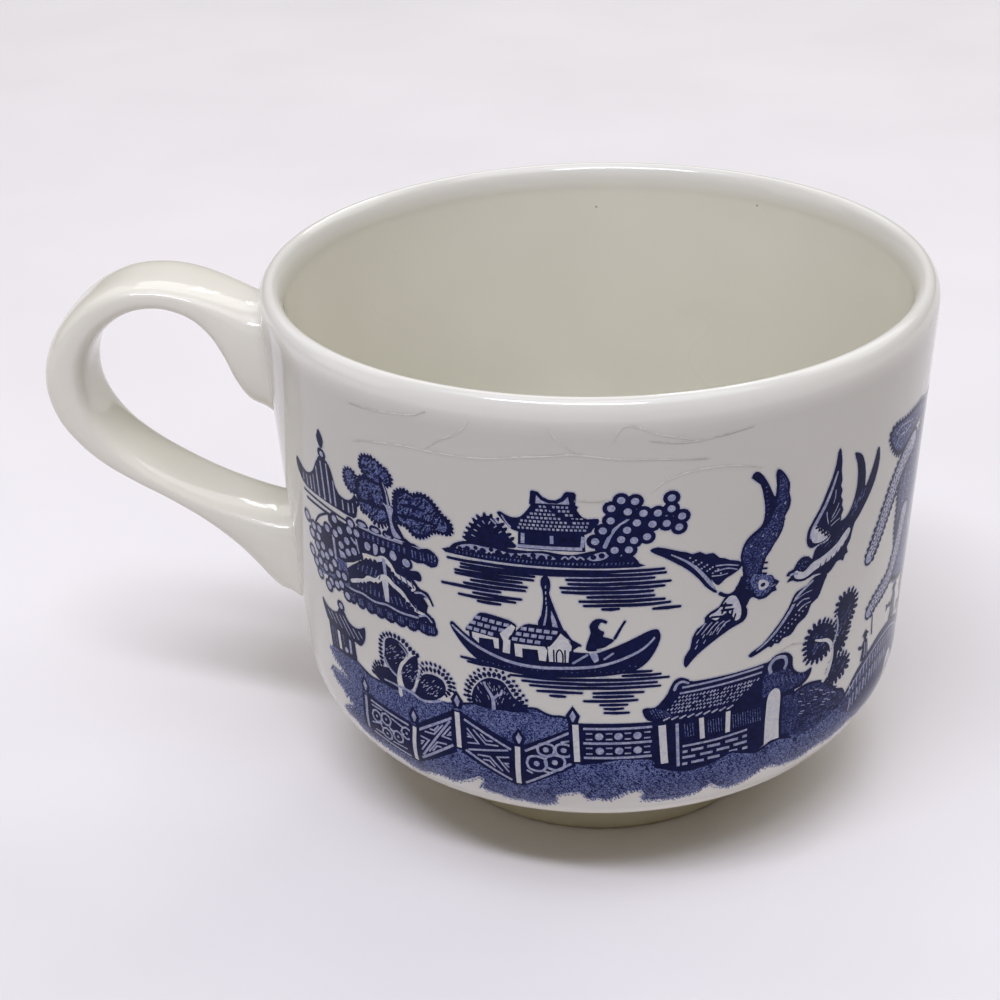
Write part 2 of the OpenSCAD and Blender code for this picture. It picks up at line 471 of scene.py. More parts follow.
def _stroke(ink, p, ws, cap=True):
    n = len(p)
    if n < 2:
        return
    if ink == "W" and max(ws) > 0.55:
        ink = "V"
    left, right = [], []
    for i in range(n):
        a, b = p[max(i - 1, 0)], p[min(i + 1, n - 1)]
        dx, dy = b[0] - a[0], b[1] - a[1]
        k = math.hypot(dx, dy) or 1e-9
        nx, ny = -dy / k, dx / k
        w = ws[i] / 2
        if 0 < i < n - 1:
            d1 = (p[i][0] - a[0], p[i][1] - a[1])
            d2 = (b[0] - p[i][0], b[1] - p[i][1])
            l1, l2 = math.hypot(*d1) or 1e-9, math.hypot(*d2) or 1e-9
            ca = (d1[0] * d2[0] + d1[1] * d2[1]) / (l1 * l2)
            nx = -(d1[1] / l1 + d2[1] / l2)
            ny = d1[0] / l1 + d2[0] / l2
            k = math.hypot(nx, ny) or 1e-9
            nx, ny = nx / k, ny / k
            w /= max(0.45, math.sqrt(max(0.0, (1 + ca) / 2)))
        left.append((p[i][0] + nx * w, p[i][1] + ny * w))
        right.append((p[i][0] - nx * w, p[i][1] - ny * w))
    for i in range(n - 1):
        _add(ink, [left[i], right[i], right[i + 1], left[i + 1]])
    if cap:
        for i, j in ((0, 1), (n - 1, n - 2)):
            w = ws[i] / 2
            if w < 0.05:
                continue
            a0 = math.atan2(p[i][1] - p[j][1], p[i][0] - p[j][0])
            _add(ink, [(p[i][0] + w * cos(a0 + radians(t)), p[i][1] + w * sin(a0 + radians(t)))
                       for t in (-90, -50, -17, 17, 50, 90)])


def _ws(n, w, w2, wm):
    out = []
    for i in range(n):
        t = i / max(1, n - 1)
        v = w + (w2 - w) * t
        if wm is not None:
            v = v + (wm - (w + w2) / 2) * 4 * t * (1 - t)
        out.append(max(0.03, v))
    return out


def L(ink, pts, w=0.32, w2=None, wm=None, cap=True):
    """Straight stroke."""
    p = _m(pts)
    _stroke(ink, p, _ws(len(p), w, w if w2 is None else w2, wm), cap)


def C(ink, pts, w=0.32, w2=None, wm=None, n=5, cap=True):
    """Smooth stroke through its points; w to w2 from end to end, wm in the middle."""
    p = _cr(_m(pts), False, n)
    _stroke(ink, p, _ws(len(p), w, w if w2 is None else w2, wm), cap)


def ring(x, z, r, w, ink="D", hole="W"):
    disc(ink, x, z, r)
    disc(hole, x, z, r - w)


def walk(pts, step, closed=True, n=8):
    """Points at even steps along a smooth outline, each with its outward direction."""
    p = _cr(_m(pts), closed, n)
    if closed:
        p = p + [p[0]]
    seg = [math.hypot(b[0] - a[0], b[1] - a[1]) for a, b in zip(p, p[1:])]
    total = sum(seg)
    m = max(2, int(round(total / step)))
    sgn = 1 if _area(p) > 0 else -1
    out, i, acc = [], 0, 0.0
    for k in range(m if closed else m + 1):
        d = total * k / m
        while i < len(seg) - 1 and acc + seg[i] < d:
            acc += seg[i]
            i += 1
        t = (d - acc) / (seg[i] or 1e-9)
        a, b = p[i], p[i + 1]
        tx, ty = (b[0] - a[0]) / (seg[i] or 1e-9), (b[1] - a[1]) / (seg[i] or 1e-9)
        out.append((a[0] + (b[0] - a[0]) * t, a[1] + (b[1] - a[1]) * t, ty * sgn, -tx * sgn))
    return out


def clump(pts, bump=0.05, step=0.5, shrink=0.84, flecks=0, lean=0.9):
    """Foliage: a dark mass with a toothed edge, a stippled heart and short slanting strokes."""
    B("D", pts)
    for x, z, nx, nz in walk(pts, step):
        a = rnd.uniform(-0.5, 0.5)
        l = bump * rnd.uniform(0.7, 1.5)
        dx, dz = nx * cos(a) - nz * sin(a), nx * sin(a) + nz * cos(a)
        L("D", [((x - dx * 0.2) / KU, z - dz * 0.2), ((x + dx * l) / KU, z + dz * l)], 0.5, 0.4)
    cx = sum(p[0] for p in pts) / len(pts)
    cz = sum(p[1] for p in pts) / len(pts)
    B("S", [(cx + (p[0] - cx) * shrink, cz + (p[1] - cz) * shrink) for p in pts])
    q = _cr(_m(pts), True, 3)
    x0, x1 = min(p[0] for p in q), max(p[0] for p in q)
    z0, z1 = min(p[1] for p in q), max(p[1] for p in q)
    n = int((x1 - x0) * (z1 - z0) * 3.4)
    for _ in range(n):
        x, z = rnd.uniform(x0, x1), rnd.uniform(z0, z1)
        if not _inside(x, z, q):
            continue
        d = lean + rnd.uniform(-0.35, 0.35)
        l = rnd.uniform(0.18, 0.42)
        L("D", [((x - l * cos(d)) / KU, z - l * sin(d)), ((x + l * cos(d)) / KU, z + l * sin(d))],
          rnd.uniform(0.14, 0.26), cap=False)


def _inside(x, z, poly):
    c = False
    n = len(poly)
    for i in range(n):
        x0, z0 = poly[i]
        x1, z1 = poly[(i + 1) % n]
        if (z0 > z) != (z1 > z) and x < (x1 - x0) * (z - z0) / (z1 - z0) + x0:
            c = not c
    return c


def fringe(pts, step=0.85, length=0.85, w=0.42, off=0.45, closed=True, skip=(), ink="D"):
    """Short leaves standing out from an outline."""
    for k, (x, z, nx, nz) in enumerate(walk(pts, step, closed)):
        if k in skip:
            continue
        a = rnd.uniform(-0.25, 0.25)
        dx, dz = nx * cos(a) - nz * sin(a), nx * sin(a) + nz * cos(a)
        l = length * rnd.uniform(0.85, 1.15)
        L(ink, [((x + dx * off) / KU, z + dz * off), ((x + dx * (off + l * 0.55)) / KU, z + dz * (off + l * 0.55)),
                ((x + dx * (off + l)) / KU, z + dz * (off + l))], w * 0.7, w * 0.75, w * 1.15)


def fruits(spots, r=0.92, r2=0.5):
    for x, z in spots:
        disc("D", x, z, r, n=14)
    for x, z in spots:
        disc("W", x, z, r2, n=12)


def rows(spec, w=0.33, down_to=None):
    """Water: level strokes, each a start, an end and a height. Close ones above down_to have blue run between them."""
    if down_to is not None:
        for i, (a0, a1, az) in enumerate(spec):
            for b0, b1, bz in spec:
                if 0.3 < az - bz < 0.7 and bz >= down_to:
                    lo, hi = max(a0, b0) + 0.3, min(a1, b1) - 0.3
                    if hi - lo > 1.5:
                        P("H", [(lo, bz), (hi, bz), (hi, az), (lo, az)])
    for x0, x1, z in spec:
        n = max(2, int((x1 - x0) / 3.0) + 1)
        pts = [(x0 + (x1 - x0) * i / n, z + rnd.uniform(-0.04, 0.04)) for i in range(n + 1)]
        L("D", pts, w * 0.8, w * 0.75, w * 1.05)


# crazing in the glaze under the rim: paths in degrees and height
CRACKS = [
    ([(225.6, 61.6), (228.0, 62.1), (231.0, 62.5), (235.0, 63.0), (240.0, 63.15), (245.0, 63.2), (250.0, 63.4), (255.0, 64.0),
      (260.0, 64.4), (263.4, 64.7), (267.0, 64.4), (271.0, 64.0), (276.0, 63.8), (281.0, 63.4), (284.0, 63.3)], 1.0),
    ([(225.6, 66.5), (230.0, 66.6), (234.0, 66.9), (237.6, 67.3), (239.6, 67.8), (240.8, 68.2)], 0.9),
    ([(240.4, 63.6), (243.0, 65.0), (245.6, 66.0), (247.0, 67.0), (247.8, 67.9)], 0.7),
    ([(259.8, 68.0), (260.8, 66.8), (262.6, 65.6), (264.8, 64.7)], 0.8),
    ([(269.6, 66.4), (270.4, 67.6), (271.6, 68.2), (273.6, 67.8), (276.0, 67.0), (279.4, 66.3), (283.0, 65.5)], 1.0),
    ([(263.6, 58.8), (266.4, 58.7), (269.0, 58.8)], 0.6),
    ([(275.4, 59.8), (277.6, 61.0), (281.0, 61.8), (285.4, 62.0), (289.4, 61.6), (293.0, 60.9)], 0.9),
    ([(275.0, 66.2), (280.0, 65.6), (286.0, 65.9), (291.0, 66.4)], 0.6),
    ([(296.4, 33.6), (300.6, 35.0), (304.4, 34.4)], 0.5),
]


def draw_cracks():
    """Each crack is a pale hair line with a darker one along its lower side; the darker line is painted shade."""
    out = []
    for path, k in CRACKS:
        for ink, w, off in (("K", 0.17, 0.0), ("J", 0.11, -0.13)):
            a = len(ART)
            C(ink, [(x, z + off) for x, z in path], w * .5 * k, w * .4 * k, w * k, n=5, cap=False)
            out += ART[a:]
            del ART[a:]
    return out


def art_pagoda():
    # roof of the great house
    P("D", _cr([(205.6, 53.6), (206.2, 54.2), (207.2, 53.9), (208.4, 53.3), (209.6, 53.1), (211.0, 53.4),
                (212.4, 54.2), (213.5, 55.4), (214.6, 56.4), (215.3, 56.9), (216.9, 56.9), (218.0, 56.3),
                (218.6, 55.3), (219.0, 54.0), (219.8, 53.0), (221.0, 52.7), (222.4, 52.8), (223.5, 53.4),
                (224.1, 53.9), (224.5, 52.6), (224.2, 51.4), (223.2, 50.5), (219.0, 50.6), (213.0, 50.7),
                (208.6, 50.8), (206.8, 51.5), (205.7, 52.6)], True, 2))
    for x, z0, z1, w in ((208.0, 51.6, 52.5, .2), (209.4, 51.2, 52.6, .26), (210.8, 51.1, 52.8, .3),
                         (212.0, 51.1, 53.4, .22), (213.5, 51.0, 54.9, .36), (215.3, 51.0, 56.1, .38),
                         (217.0, 51.0, 56.2, .38), (218.5, 51.0, 54.3, .34), (220.6, 51.1, 52.3, .28),
                         (222.1, 51.1, 52.3, .3), (223.3, 51.3, 52.6, .18)):
        L("W", [(x, z0), (x + .05, z1)], w, w * .7)
    B("D", [(216.2, 60.7), (217.0, 59.9), (217.15, 59.2), (216.6, 58.3), (215.8, 58.3), (215.25, 59.2), (215.4, 59.9)])
    ring(216.1, 57.35, .84, .46)
    L("D", [(207.6, 50.1), (214, 49.95), (221.4, 49.55)], .34)
    L("D", [(208.4, 49.15), (216.5, 49.05)], .4)
    C("D", [(210.2, 46.1), (212.2, 47.7), (215.2, 48.95)], .34)
    # the ground floor among the fruit trees
    P("D", [(212.9, 43.2), (213.0, 46.6), (215.4, 46.6), (215.5, 43.0)])
    P("D", [(215.4, 49.2), (224.0, 49.0), (224.4, 45.2), (221.5, 43.9), (216.4, 42.4), (215.3, 44.0)])
    P("D", [(210.2, 46.0), (213, 46.5), (213, 42.5), (209.6, 42.4)])
    # stippled, lighter than the solid ink round it: partly the print, partly a painted reflection of glare on the wall
    P("S", [(209.2, 43.4), (214.5, 43.3), (219.5, 43.2), (219.5, 39.8), (209.6, 39.0)])
    L("W", [(216.3, 46.4), (216.2, 42.6)], .5)
    P("W", [(217.6, 44.8), (219.2, 44.5), (219.6, 43.9), (217.9, 43.6)])
    C("W", [(212.6, 47.1), (214.2, 47.9), (215.6, 47.7), (216.4, 46.9)], .5, .3)
    C("W", [(220.9, 48.4), (222.1, 47.2), (223.2, 46.8)], .25, .4)
    C("W", [(223.5, 49.8), (223.1, 47.6), (223.4, 45.8)], .3)
    fruits([(217.4, 48.8), (222.1, 49.5), (221.5, 48.4), (223.4, 48.5), (218.7, 47.6), (220.4, 46.6), (214.6, 46.7),
            (217.1, 46.7), (209.4, 45.4), (211.5, 45.6), (218.5, 45.5), (220.4, 45.0), (222.1, 45.6), (210.7, 44.3),
            (208.3, 44.1), (212.0, 43.4), (214.7, 43.3), (209.9, 42.8), (213.1, 42.3), (215.5, 42.0), (211.4, 42.0),
            (214.0, 40.9), (216.3, 40.7), (218.2, 40.9), (216.9, 39.4), (215.4, 38.9), (213.4, 38.7), (218.4, 38.2),
            (212.3, 37.8), (210.1, 40.6), (211.9, 40.3), (207.1, 46.2), (207.1, 41.2), (208.3, 39.9), (209.3, 38.6)],
           .92, .52)
    for x, z in ((207.1, 46.2), (208.3, 44.1), (207.1, 41.2), (212.3, 37.8)):
        ring(x, z, .98, .42)


def art_rock():
    # terrace wall of rolled stones, with the rocks under it
    for x0, x1, z in ((223.6, 226.6, 50.0), (226.8, 229.6, 49.95), (229.8, 232.2, 49.9)):
        xm = (x0 + x1) / 2
        B("D", [(x0, z), (xm - .8, z + .72), (xm + .8, z + .72), (x1, z), (xm, z - .3)])
        B("W", [(x0 + .6, z + .05), (xm - .6, z + .38), (xm + .6, z + .38), (x1 - .6, z + .05), (xm, z - .12)])
    P("D", _cr([(223.6, 49.7), (226, 49.75), (230, 49.7), (233.6, 49.8), (234.6, 50.0), (236.4, 50.1), (237.6, 49.7),
                (238.8, 49.95), (240.0, 49.6), (240.7, 48.7), (240.4, 47.8), (239.2, 47.4), (237.9, 47.7),
                (236.6, 47.5), (235.4, 47.7), (233.8, 48.0), (231, 48.1), (228, 48.1), (224.4, 48.2), (223.5, 48.9)],
               True, 2))
    L("W", [(224.4, 49.72), (228, 49.62), (233.8, 49.66)], .3)
    C("W", [(236.0, 49.55), (237.0, 49.6), (238.0, 49.3)], .34)
    for k in range(13):
        x = 225.2 + k * 1.12
        L("S", [(x, 48.35), (x + .1, 49.2)], .3, cap=False)
    for x, z in ((238.6, 48.6), (239.5, 48.7)):
        L("S", [(x, z - .7), (x + .1, z + .7)], .25, cap=False)
    P("D", [(223.6, 48.4), (235.4, 48.2), (235.0, 46.5), (231.0, 45.8), (228.5, 46.4), (225.2, 46.2), (223.4, 45.2)])
    B("W", [(225.2, 47.6), (225.9, 47.95), (226.6, 47.5), (226.1, 46.8), (225.3, 46.9)])
    B("W", [(227.4, 48.1), (228.3, 48.0), (228.1, 47.0), (227.4, 46.5), (227.2, 47.2)])
    B("W", [(229.0, 48.0), (229.9, 48.1), (229.9, 47.6), (229.1, 47.2)])
    B("W", [(231.2, 48.0), (231.9, 48.1), (232.4, 47.3), (231.7, 46.8), (230.9, 47.2)])
    ring(234.3, 47.05, .95, .38)
    # second course of rolled stones
    P("D", _cr([(231.0, 46.0), (233.0, 46.2), (235.0, 46.2), (236.6, 46.35), (237.2, 45.7), (236.8, 45.0), (235.2, 45.0),
                (233.0, 44.9), (231.6, 45.3)], True, 3))
    # arched rocks
    P("D", _cr([(219.6, 42.6), (222.0, 43.9), (224.6, 45.2), (227.6, 46.1), (229.6, 46.8), (231.2, 46.2), (233.0, 45.3),
                (235.0, 45.0), (236.2, 44.2), (237.8, 43.4), (238.6, 42.6), (237.9, 42.9), (237.2, 42.8), (238.0, 41.9),
                (237.6, 40.9), (238.9, 40.2), (239.2, 39.0), (238.7, 37.9), (237.4, 37.5), (236.2, 37.7),
                (235.4, 37.9), (234.3, 37.4), (233.0, 37.9), (231.4, 37.5), (230.0, 38.0), (228.6, 37.6),
                (227.2, 38.0), (225.6, 37.7), (224.0, 38.1), (222.5, 37.8), (220.6, 38.2), (219.0, 38.1),
                (218.0, 39.4), (218.0, 41.4)], True, 2))
    C("D", [(231.6, 45.2), (234.8, 45.1), (236.4, 43.9), (238.0, 43.5), (238.9, 42.1)], .45, .3)
    C("W", [(218.6, 43.0), (220.6, 43.7), (222.6, 44.6), (224.6, 45.7), (227.4, 45.9), (229.3, 46.5), (230.6, 46.0),
            (231.6, 45.0), (233.6, 44.5), (235.4, 43.9), (235.0, 43.4)], .5, .35, .72)
    C("W", [(235.6, 43.2), (236.8, 43.4), (237.9, 43.0), (238.4, 42.2)], .3, .2)
    L("W", [(229.4, 46.3), (229.4, 44.1)], .55, .45)
    C("W", [(220.4, 41.0), (222.0, 41.5), (224.0, 42.0), (225.2, 42.7), (227.0, 42.8), (228.3, 43.6), (229.6, 43.9),
            (231.0, 43.2), (232.6, 42.6), (233.8, 41.6), (235.2, 40.7), (237.0, 40.4)], .5, .35, .7)
    P("W", [(228.4, 43.4), (229.9, 43.6), (229.6, 40.4), (228.7, 40.4)])
    C("W", [(217.9, 39.9), (220.4, 39.7), (223.0, 39.9), (226.0, 39.6), (229.0, 39.9), (232.0, 39.6), (235.6, 39.7)], .3, .3)
    C("W", [(236.0, 40.0), (237.4, 40.3), (238.4, 39.6)], .28, .2)
    for x0, z0, n, lean in ((222.5, 43.2, 6, 30), (231.2, 43.7, 5, -25), (222.0, 40.5, 7, 12), (230.4, 40.5, 6, -20)):
        for k in range(n):
            x = x0 + k * 1.05
            h = (0.9, 1.2, 1.45, 1.5, 1.3, 1.0, .8)[k] * .9
            L("S", [(x, z0), (x + h * math.tan(radians(lean)), z0 + h)], .24, .16, cap=False)
    for k in range(17):
        x = 219.4 + k * 1.15
        L("S", [(x, 38.4), (x, 39.2)], .3, cap=False)
    for x, z, h in ((236.2, 38.8, 1.0), (237.2, 38.8, 1.3), (238.2, 38.9, 1.0)):
        L("S", [(x, z - h / 2), (x, z + h / 2)], .24, cap=False)
    for x in (219.8, 222.2, 224.6, 227.0, 229.4, 231.8, 234.2, 236.6, 238.2):
        disc("D", x, 38.35 + (.15 if x > 236 else 0), .92, n=12)
        for dx in (-.5, 0, .5):
            L("S", [(x + dx, 38.0), (x + dx * .8, 39.0)], .2, .14, cap=False)
    for x in (236.3, 237.9, 239.4):
        disc("D", x, 48.7, 1.0, n=12)
        for dx in (-.5, .1, .7):
            L("S", [(x + dx, 48.1), (x + dx, 49.2)], .18, cap=False)
    for x in (232.4, 234.2, 236.0):
        disc("D", x, 45.6, .62, n=10)
    # scalloped edges of the foliage on the rocks
    for pts in ([(223.4, 44.2), (225.0, 45.0), (227.0, 45.4), (228.4, 45.4)], [(230.4, 45.2), (231.8, 44.2)],
                [(223.0, 41.1), (225.6, 41.9), (228.0, 42.4)], [(230.2, 42.6), (232.0, 42.0), (234.6, 40.6)]):
        for x, z, nx, nz in walk(pts, .72, False):
            disc("D", x / KU, z + .12, .36, n=8)


def art_big_tree():
    clump([(222.2, 56.8), (223.0, 57.3), (224.3, 57.3), (225.2, 56.6), (225.4, 55.6), (224.9, 54.6), (224.0, 54.2),
           (222.9, 54.4), (222.1, 55.1), (221.9, 56.0)], flecks=14)
    clump([(225.6, 56.7), (227.5, 57.3), (230.0, 57.3), (231.0, 56.5), (231.3, 54.8), (231.0, 53.2), (229.2, 52.8),
           (227.5, 52.9), (225.6, 53.4), (224.7, 54.4), (225.1, 55.7)], flecks=34)
    clump([(224.6, 53.4), (226.4, 53.6), (229.0, 53.6), (231.4, 53.4), (231.5, 52.2), (230.7, 51.6), (229.3, 51.3),
           (228.2, 51.6), (227.2, 52.3), (225.7, 52.6)], flecks=16, bump=.36)
    clump([(226.4, 59.2), (227.1, 60.0), (228.4, 60.2), (229.7, 60.1), (231.0, 59.6), (232.3, 59.0), (233.0, 58.3),
           (233.0, 57.6), (232.3, 57.0), (230.8, 56.8), (228.4, 56.9), (227.0, 57.5), (226.4, 58.3)], flecks=26)
    clump([(233.0, 55.2), (233.3, 56.4), (234.3, 57.0), (235.6, 57.2), (236.8, 56.8), (237.8, 57.1), (239.0, 57.2),
           (240.1, 56.8), (241.2, 56.0), (242.2, 55.0), (243.2, 54.5), (243.7, 53.7), (243.7, 53.0), (243.0, 52.5),
           (241.5, 52.5), (240.2, 52.3), (239.0, 51.6), (237.9, 51.2), (236.6, 51.2), (235.6, 51.8), (234.6, 52.3),
           (233.5, 52.2), (232.9, 53.0), (232.8, 54.0)], flecks=60)
    for z, x0, x1 in ((53.55, 225.2, 230.8), (53.5, 233.4, 241.0), (55.0, 234.6, 239.0)):
        C("D", [(x0, z), ((x0 + x1) / 2, z + .15), (x1, z - .05)], .3, .2, .5)
    C("D", [(230.7, 57.6), (231.3, 56.2), (231.7, 54.6)], .7, .9)
    P("D", [(230.7, 54.6), (233.3, 54.4), (233.0, 52.6), (234.4, 50.6), (236.2, 49.9), (230.4, 50.1), (231.5, 51.6)])
    C("W", [(231.1, 57.2), (231.6, 55.8), (231.8, 54.4)], .12, .3)
    P("W", _cr([(231.3, 54.3), (232.7, 54.1), (232.2, 52.6), (232.7, 51.2), (233.8, 50.3), (232.4, 50.2),
                (231.9, 50.9), (231.7, 52.3)], True, 3))
    C("W", [(230.9, 54.4), (231.8, 53.7)], .2, .3)


def art_small_house():
    P("S", [(208.6, 27.2), (210.0, 28.2), (213, 28.4), (218.4, 28.8), (219.6, 28.4), (219.8, 26.4), (213, 25.6)])
    P("D", _cr([(208.4, 34.6), (208.9, 34.9), (209.7, 34.4), (211.0, 34.1), (213.0, 34.2), (214.2, 34.7), (214.9, 35.4),
                (216.5, 35.3), (217.2, 34.5), (218.5, 33.95), (220.0, 33.95), (221.2, 34.3), (222.2, 34.75),
                (222.45, 34.3), (222.2, 33.2), (221.4, 32.1), (220.3, 31.45), (218.6, 31.6), (214, 31.6),
                (210.2, 31.8), (209.3, 32.6), (208.7, 33.6)], True, 2))
    ring(215.6, 35.85, .84, .42)
    for a, b in (((214.6, 34.3), (217.4, 32.0)), ((215.8, 34.5), (218.8, 32.1)), ((218.6, 33.5), (220.2, 32.3)),
                 ((210.3, 33.6), (211.6, 32.6)), ((211.6, 33.8), (213.2, 32.5)), ((213.2, 34.0), (215.0, 32.4)),
                 ((220.3, 33.6), (221.2, 32.8))):
        L("W", [a, b], .2, .16, cap=False)
    P("D", [(210.1, 28.1), (210.0, 32.0), (218.7, 31.9), (218.8, 28.5)])
    for x in (211.2, 212.2):
        L("S", [(x, 28.8), (x, 31.5)], .22, cap=False)
    L("W", [(213.5, 28.8), (213.4, 31.5)], .6, cap=False)
    L("W", [(217.0, 29.2), (217.1, 31.3)], .46, cap=False)
    L("S", [(214.9, 29.9), (214.9, 31.4)], .3, cap=False)
    disc("W", 215.5, 29.3, .4)


def art_hills():
    # stippled hill behind the fence, and the ground under it with its brushed edge
    top = [(219.0, 28.6), (221.0, 27.95), (223.0, 27.6), (226.0, 27.6), (229.0, 27.3), (232.0, 27.0), (236.0, 27.4),
           (240.0, 28.2), (243.0, 28.8), (246.0, 29.3), (249.0, 29.3), (252.0, 29.1), (253.4, 29.4), (254.8, 29.8),
           (256.4, 29.85), (257.6, 29.4), (259.0, 29.0), (260.6, 29.0), (262.0, 28.7), (264.0, 27.8), (268.0, 26.0),
           (272, 24.6), (276.5, 24.0)]
    low = [(276.6, 21.0), (270, 20.6), (264, 21.0), (258, 19.0), (250, 18.6), (244, 20.4), (238, 18.0), (230, 17.4),
           (224, 18.4), (219.4, 18.8)]
    P("S", _cr(_m2(top), False, 3) + low)
    C("D", top, .34, .34, n=4)
    edge = [(209.0, 27.3), (211.0, 26.3), (214.0, 25.2), (216.4, 24.5), (212.6, 24.4), (208.8, 24.1), (208.6, 23.4),
            (211.0, 22.6), (214.0, 21.7), (216.2, 20.9), (214.2, 20.0), (211.6, 19.0), (212.4, 18.5), (215.0, 18.3),
            (216.4, 17.4), (218.0, 17.0), (221.0, 16.9), (224.0, 16.3), (227.0, 15.8), (229.0, 14.9), (231.0, 14.7),
            (233.0, 15.4), (236.0, 15.9), (239.0, 15.5), (240.6, 16.1), (243.0, 17.1), (244.8, 18.0), (245.8, 17.8),
            (245.7, 16.8), (244.8, 15.5), (246.2, 15.3), (248.0, 15.0), (250.0, 14.4), (252.0, 14.7), (253.6, 14.3),
            (255.5, 14.1), (257.2, 14.2), (258.4, 15.0), (259.1, 16.6), (261.0, 17.2), (263.4, 17.5), (264.3, 16.9),
            (264.6, 16.1), (266.5, 16.3), (268.5, 16.0), (270.4, 16.9), (272.0, 17.6), (274.4, 17.7), (275.2, 16.6),
            (274.6, 15.6), (277.0, 15.4), (280.0, 15.1), (282.2, 15.3), (284.5, 15.7), (287.3, 17.1), (289.0, 16.1),
            (291.0, 15.2), (294.0, 15.5), (296.0, 16.5), (298.0, 17.3), (300.0, 17.2), (302.0, 16.4), (304.0, 16.3),
            (306.0, 16.0), (309.0, 16.5), (312.0, 17.0), (315.0, 16.6), (318.0, 17.0), (321.0, 17.6), (324.0, 17.2),
            (327.0, 17.8), (330.0, 17.4), (333.0, 18.0), (336.0, 17.4), (339.0, 16.8), (341.5, 17.6), (343.6, 19.0)]
    roof = [(343.0, 20.4), (338, 21.0), (332, 20.6), (326, 20.4), (320, 21.4), (317.2, 23.0), (315.4, 24.2),
            (313.2, 24.9), (312.4, 26.0), (310.4, 27.2), (307.5, 27.8), (305.0, 27.9), (302.6, 27.6), (300.6, 27.6),
            (300.2, 21.4), (297.0, 21.2), (293.0, 21.0), (290.0, 21.6), (286.0, 20.6), (282.0, 20.3), (278.6, 21.0),
            (276.5, 22.2), (270.0, 22.2), (264.6, 22.0), (258, 20.4), (252.6, 18.0), (247, 20.2), (242, 22.0),
            (237, 19.6), (231.5, 17.4), (225.0, 18.2), (219.5, 19.0), (219.2, 28.4), (214.0, 28.2), (210.0, 28.0)]
    P("S", edge + roof)
    # brushed grass that breaks the lower edge
    for x, z, nx, nz in walk(edge, .3, False):
        l = rnd.uniform(.25, 1.0)
        a = rnd.uniform(-.35, .35)
        lean = .5 if x / KU > 245 else -.7
        L("S", [(x / KU, z + .45), ((x + (lean + a) * l) / KU, z - l * .5)], .26, .1, cap=False)
    for x, z, nx, nz in walk(edge, .5, False):
        # loose flecks below it
        l = rnd.uniform(.12, .3)
        lean = .5 if x / KU > 245 else -.7
        px, pz = x + nx * rnd.uniform(.15, .6), z + nz * rnd.uniform(.15, .6)
        L("S", [(px / KU, pz), ((px + lean * l) / KU, pz - l * .7)], .16, .1, cap=False)
    # darker brush strokes in the ground
    for k in range(520):
        x = rnd.uniform(212, 343)
        z = rnd.uniform(15.4, 22.4)
        if x > 300:
            z = rnd.uniform(17.2, 26.5 if x < 314 else 21.6)
        lean = .5 if x > 245 else -.7
        l = rnd.uniform(.35, .9)
        if not _inside(x, z, edge + roof) or not _inside(x + lean * l / KU, z - l * .7, edge + roof):
            continue
        L("D", [(x, z), (x + lean * l / KU, z - l * .7)], .2, .1, cap=False)


def _m2(p):
    return list(p)


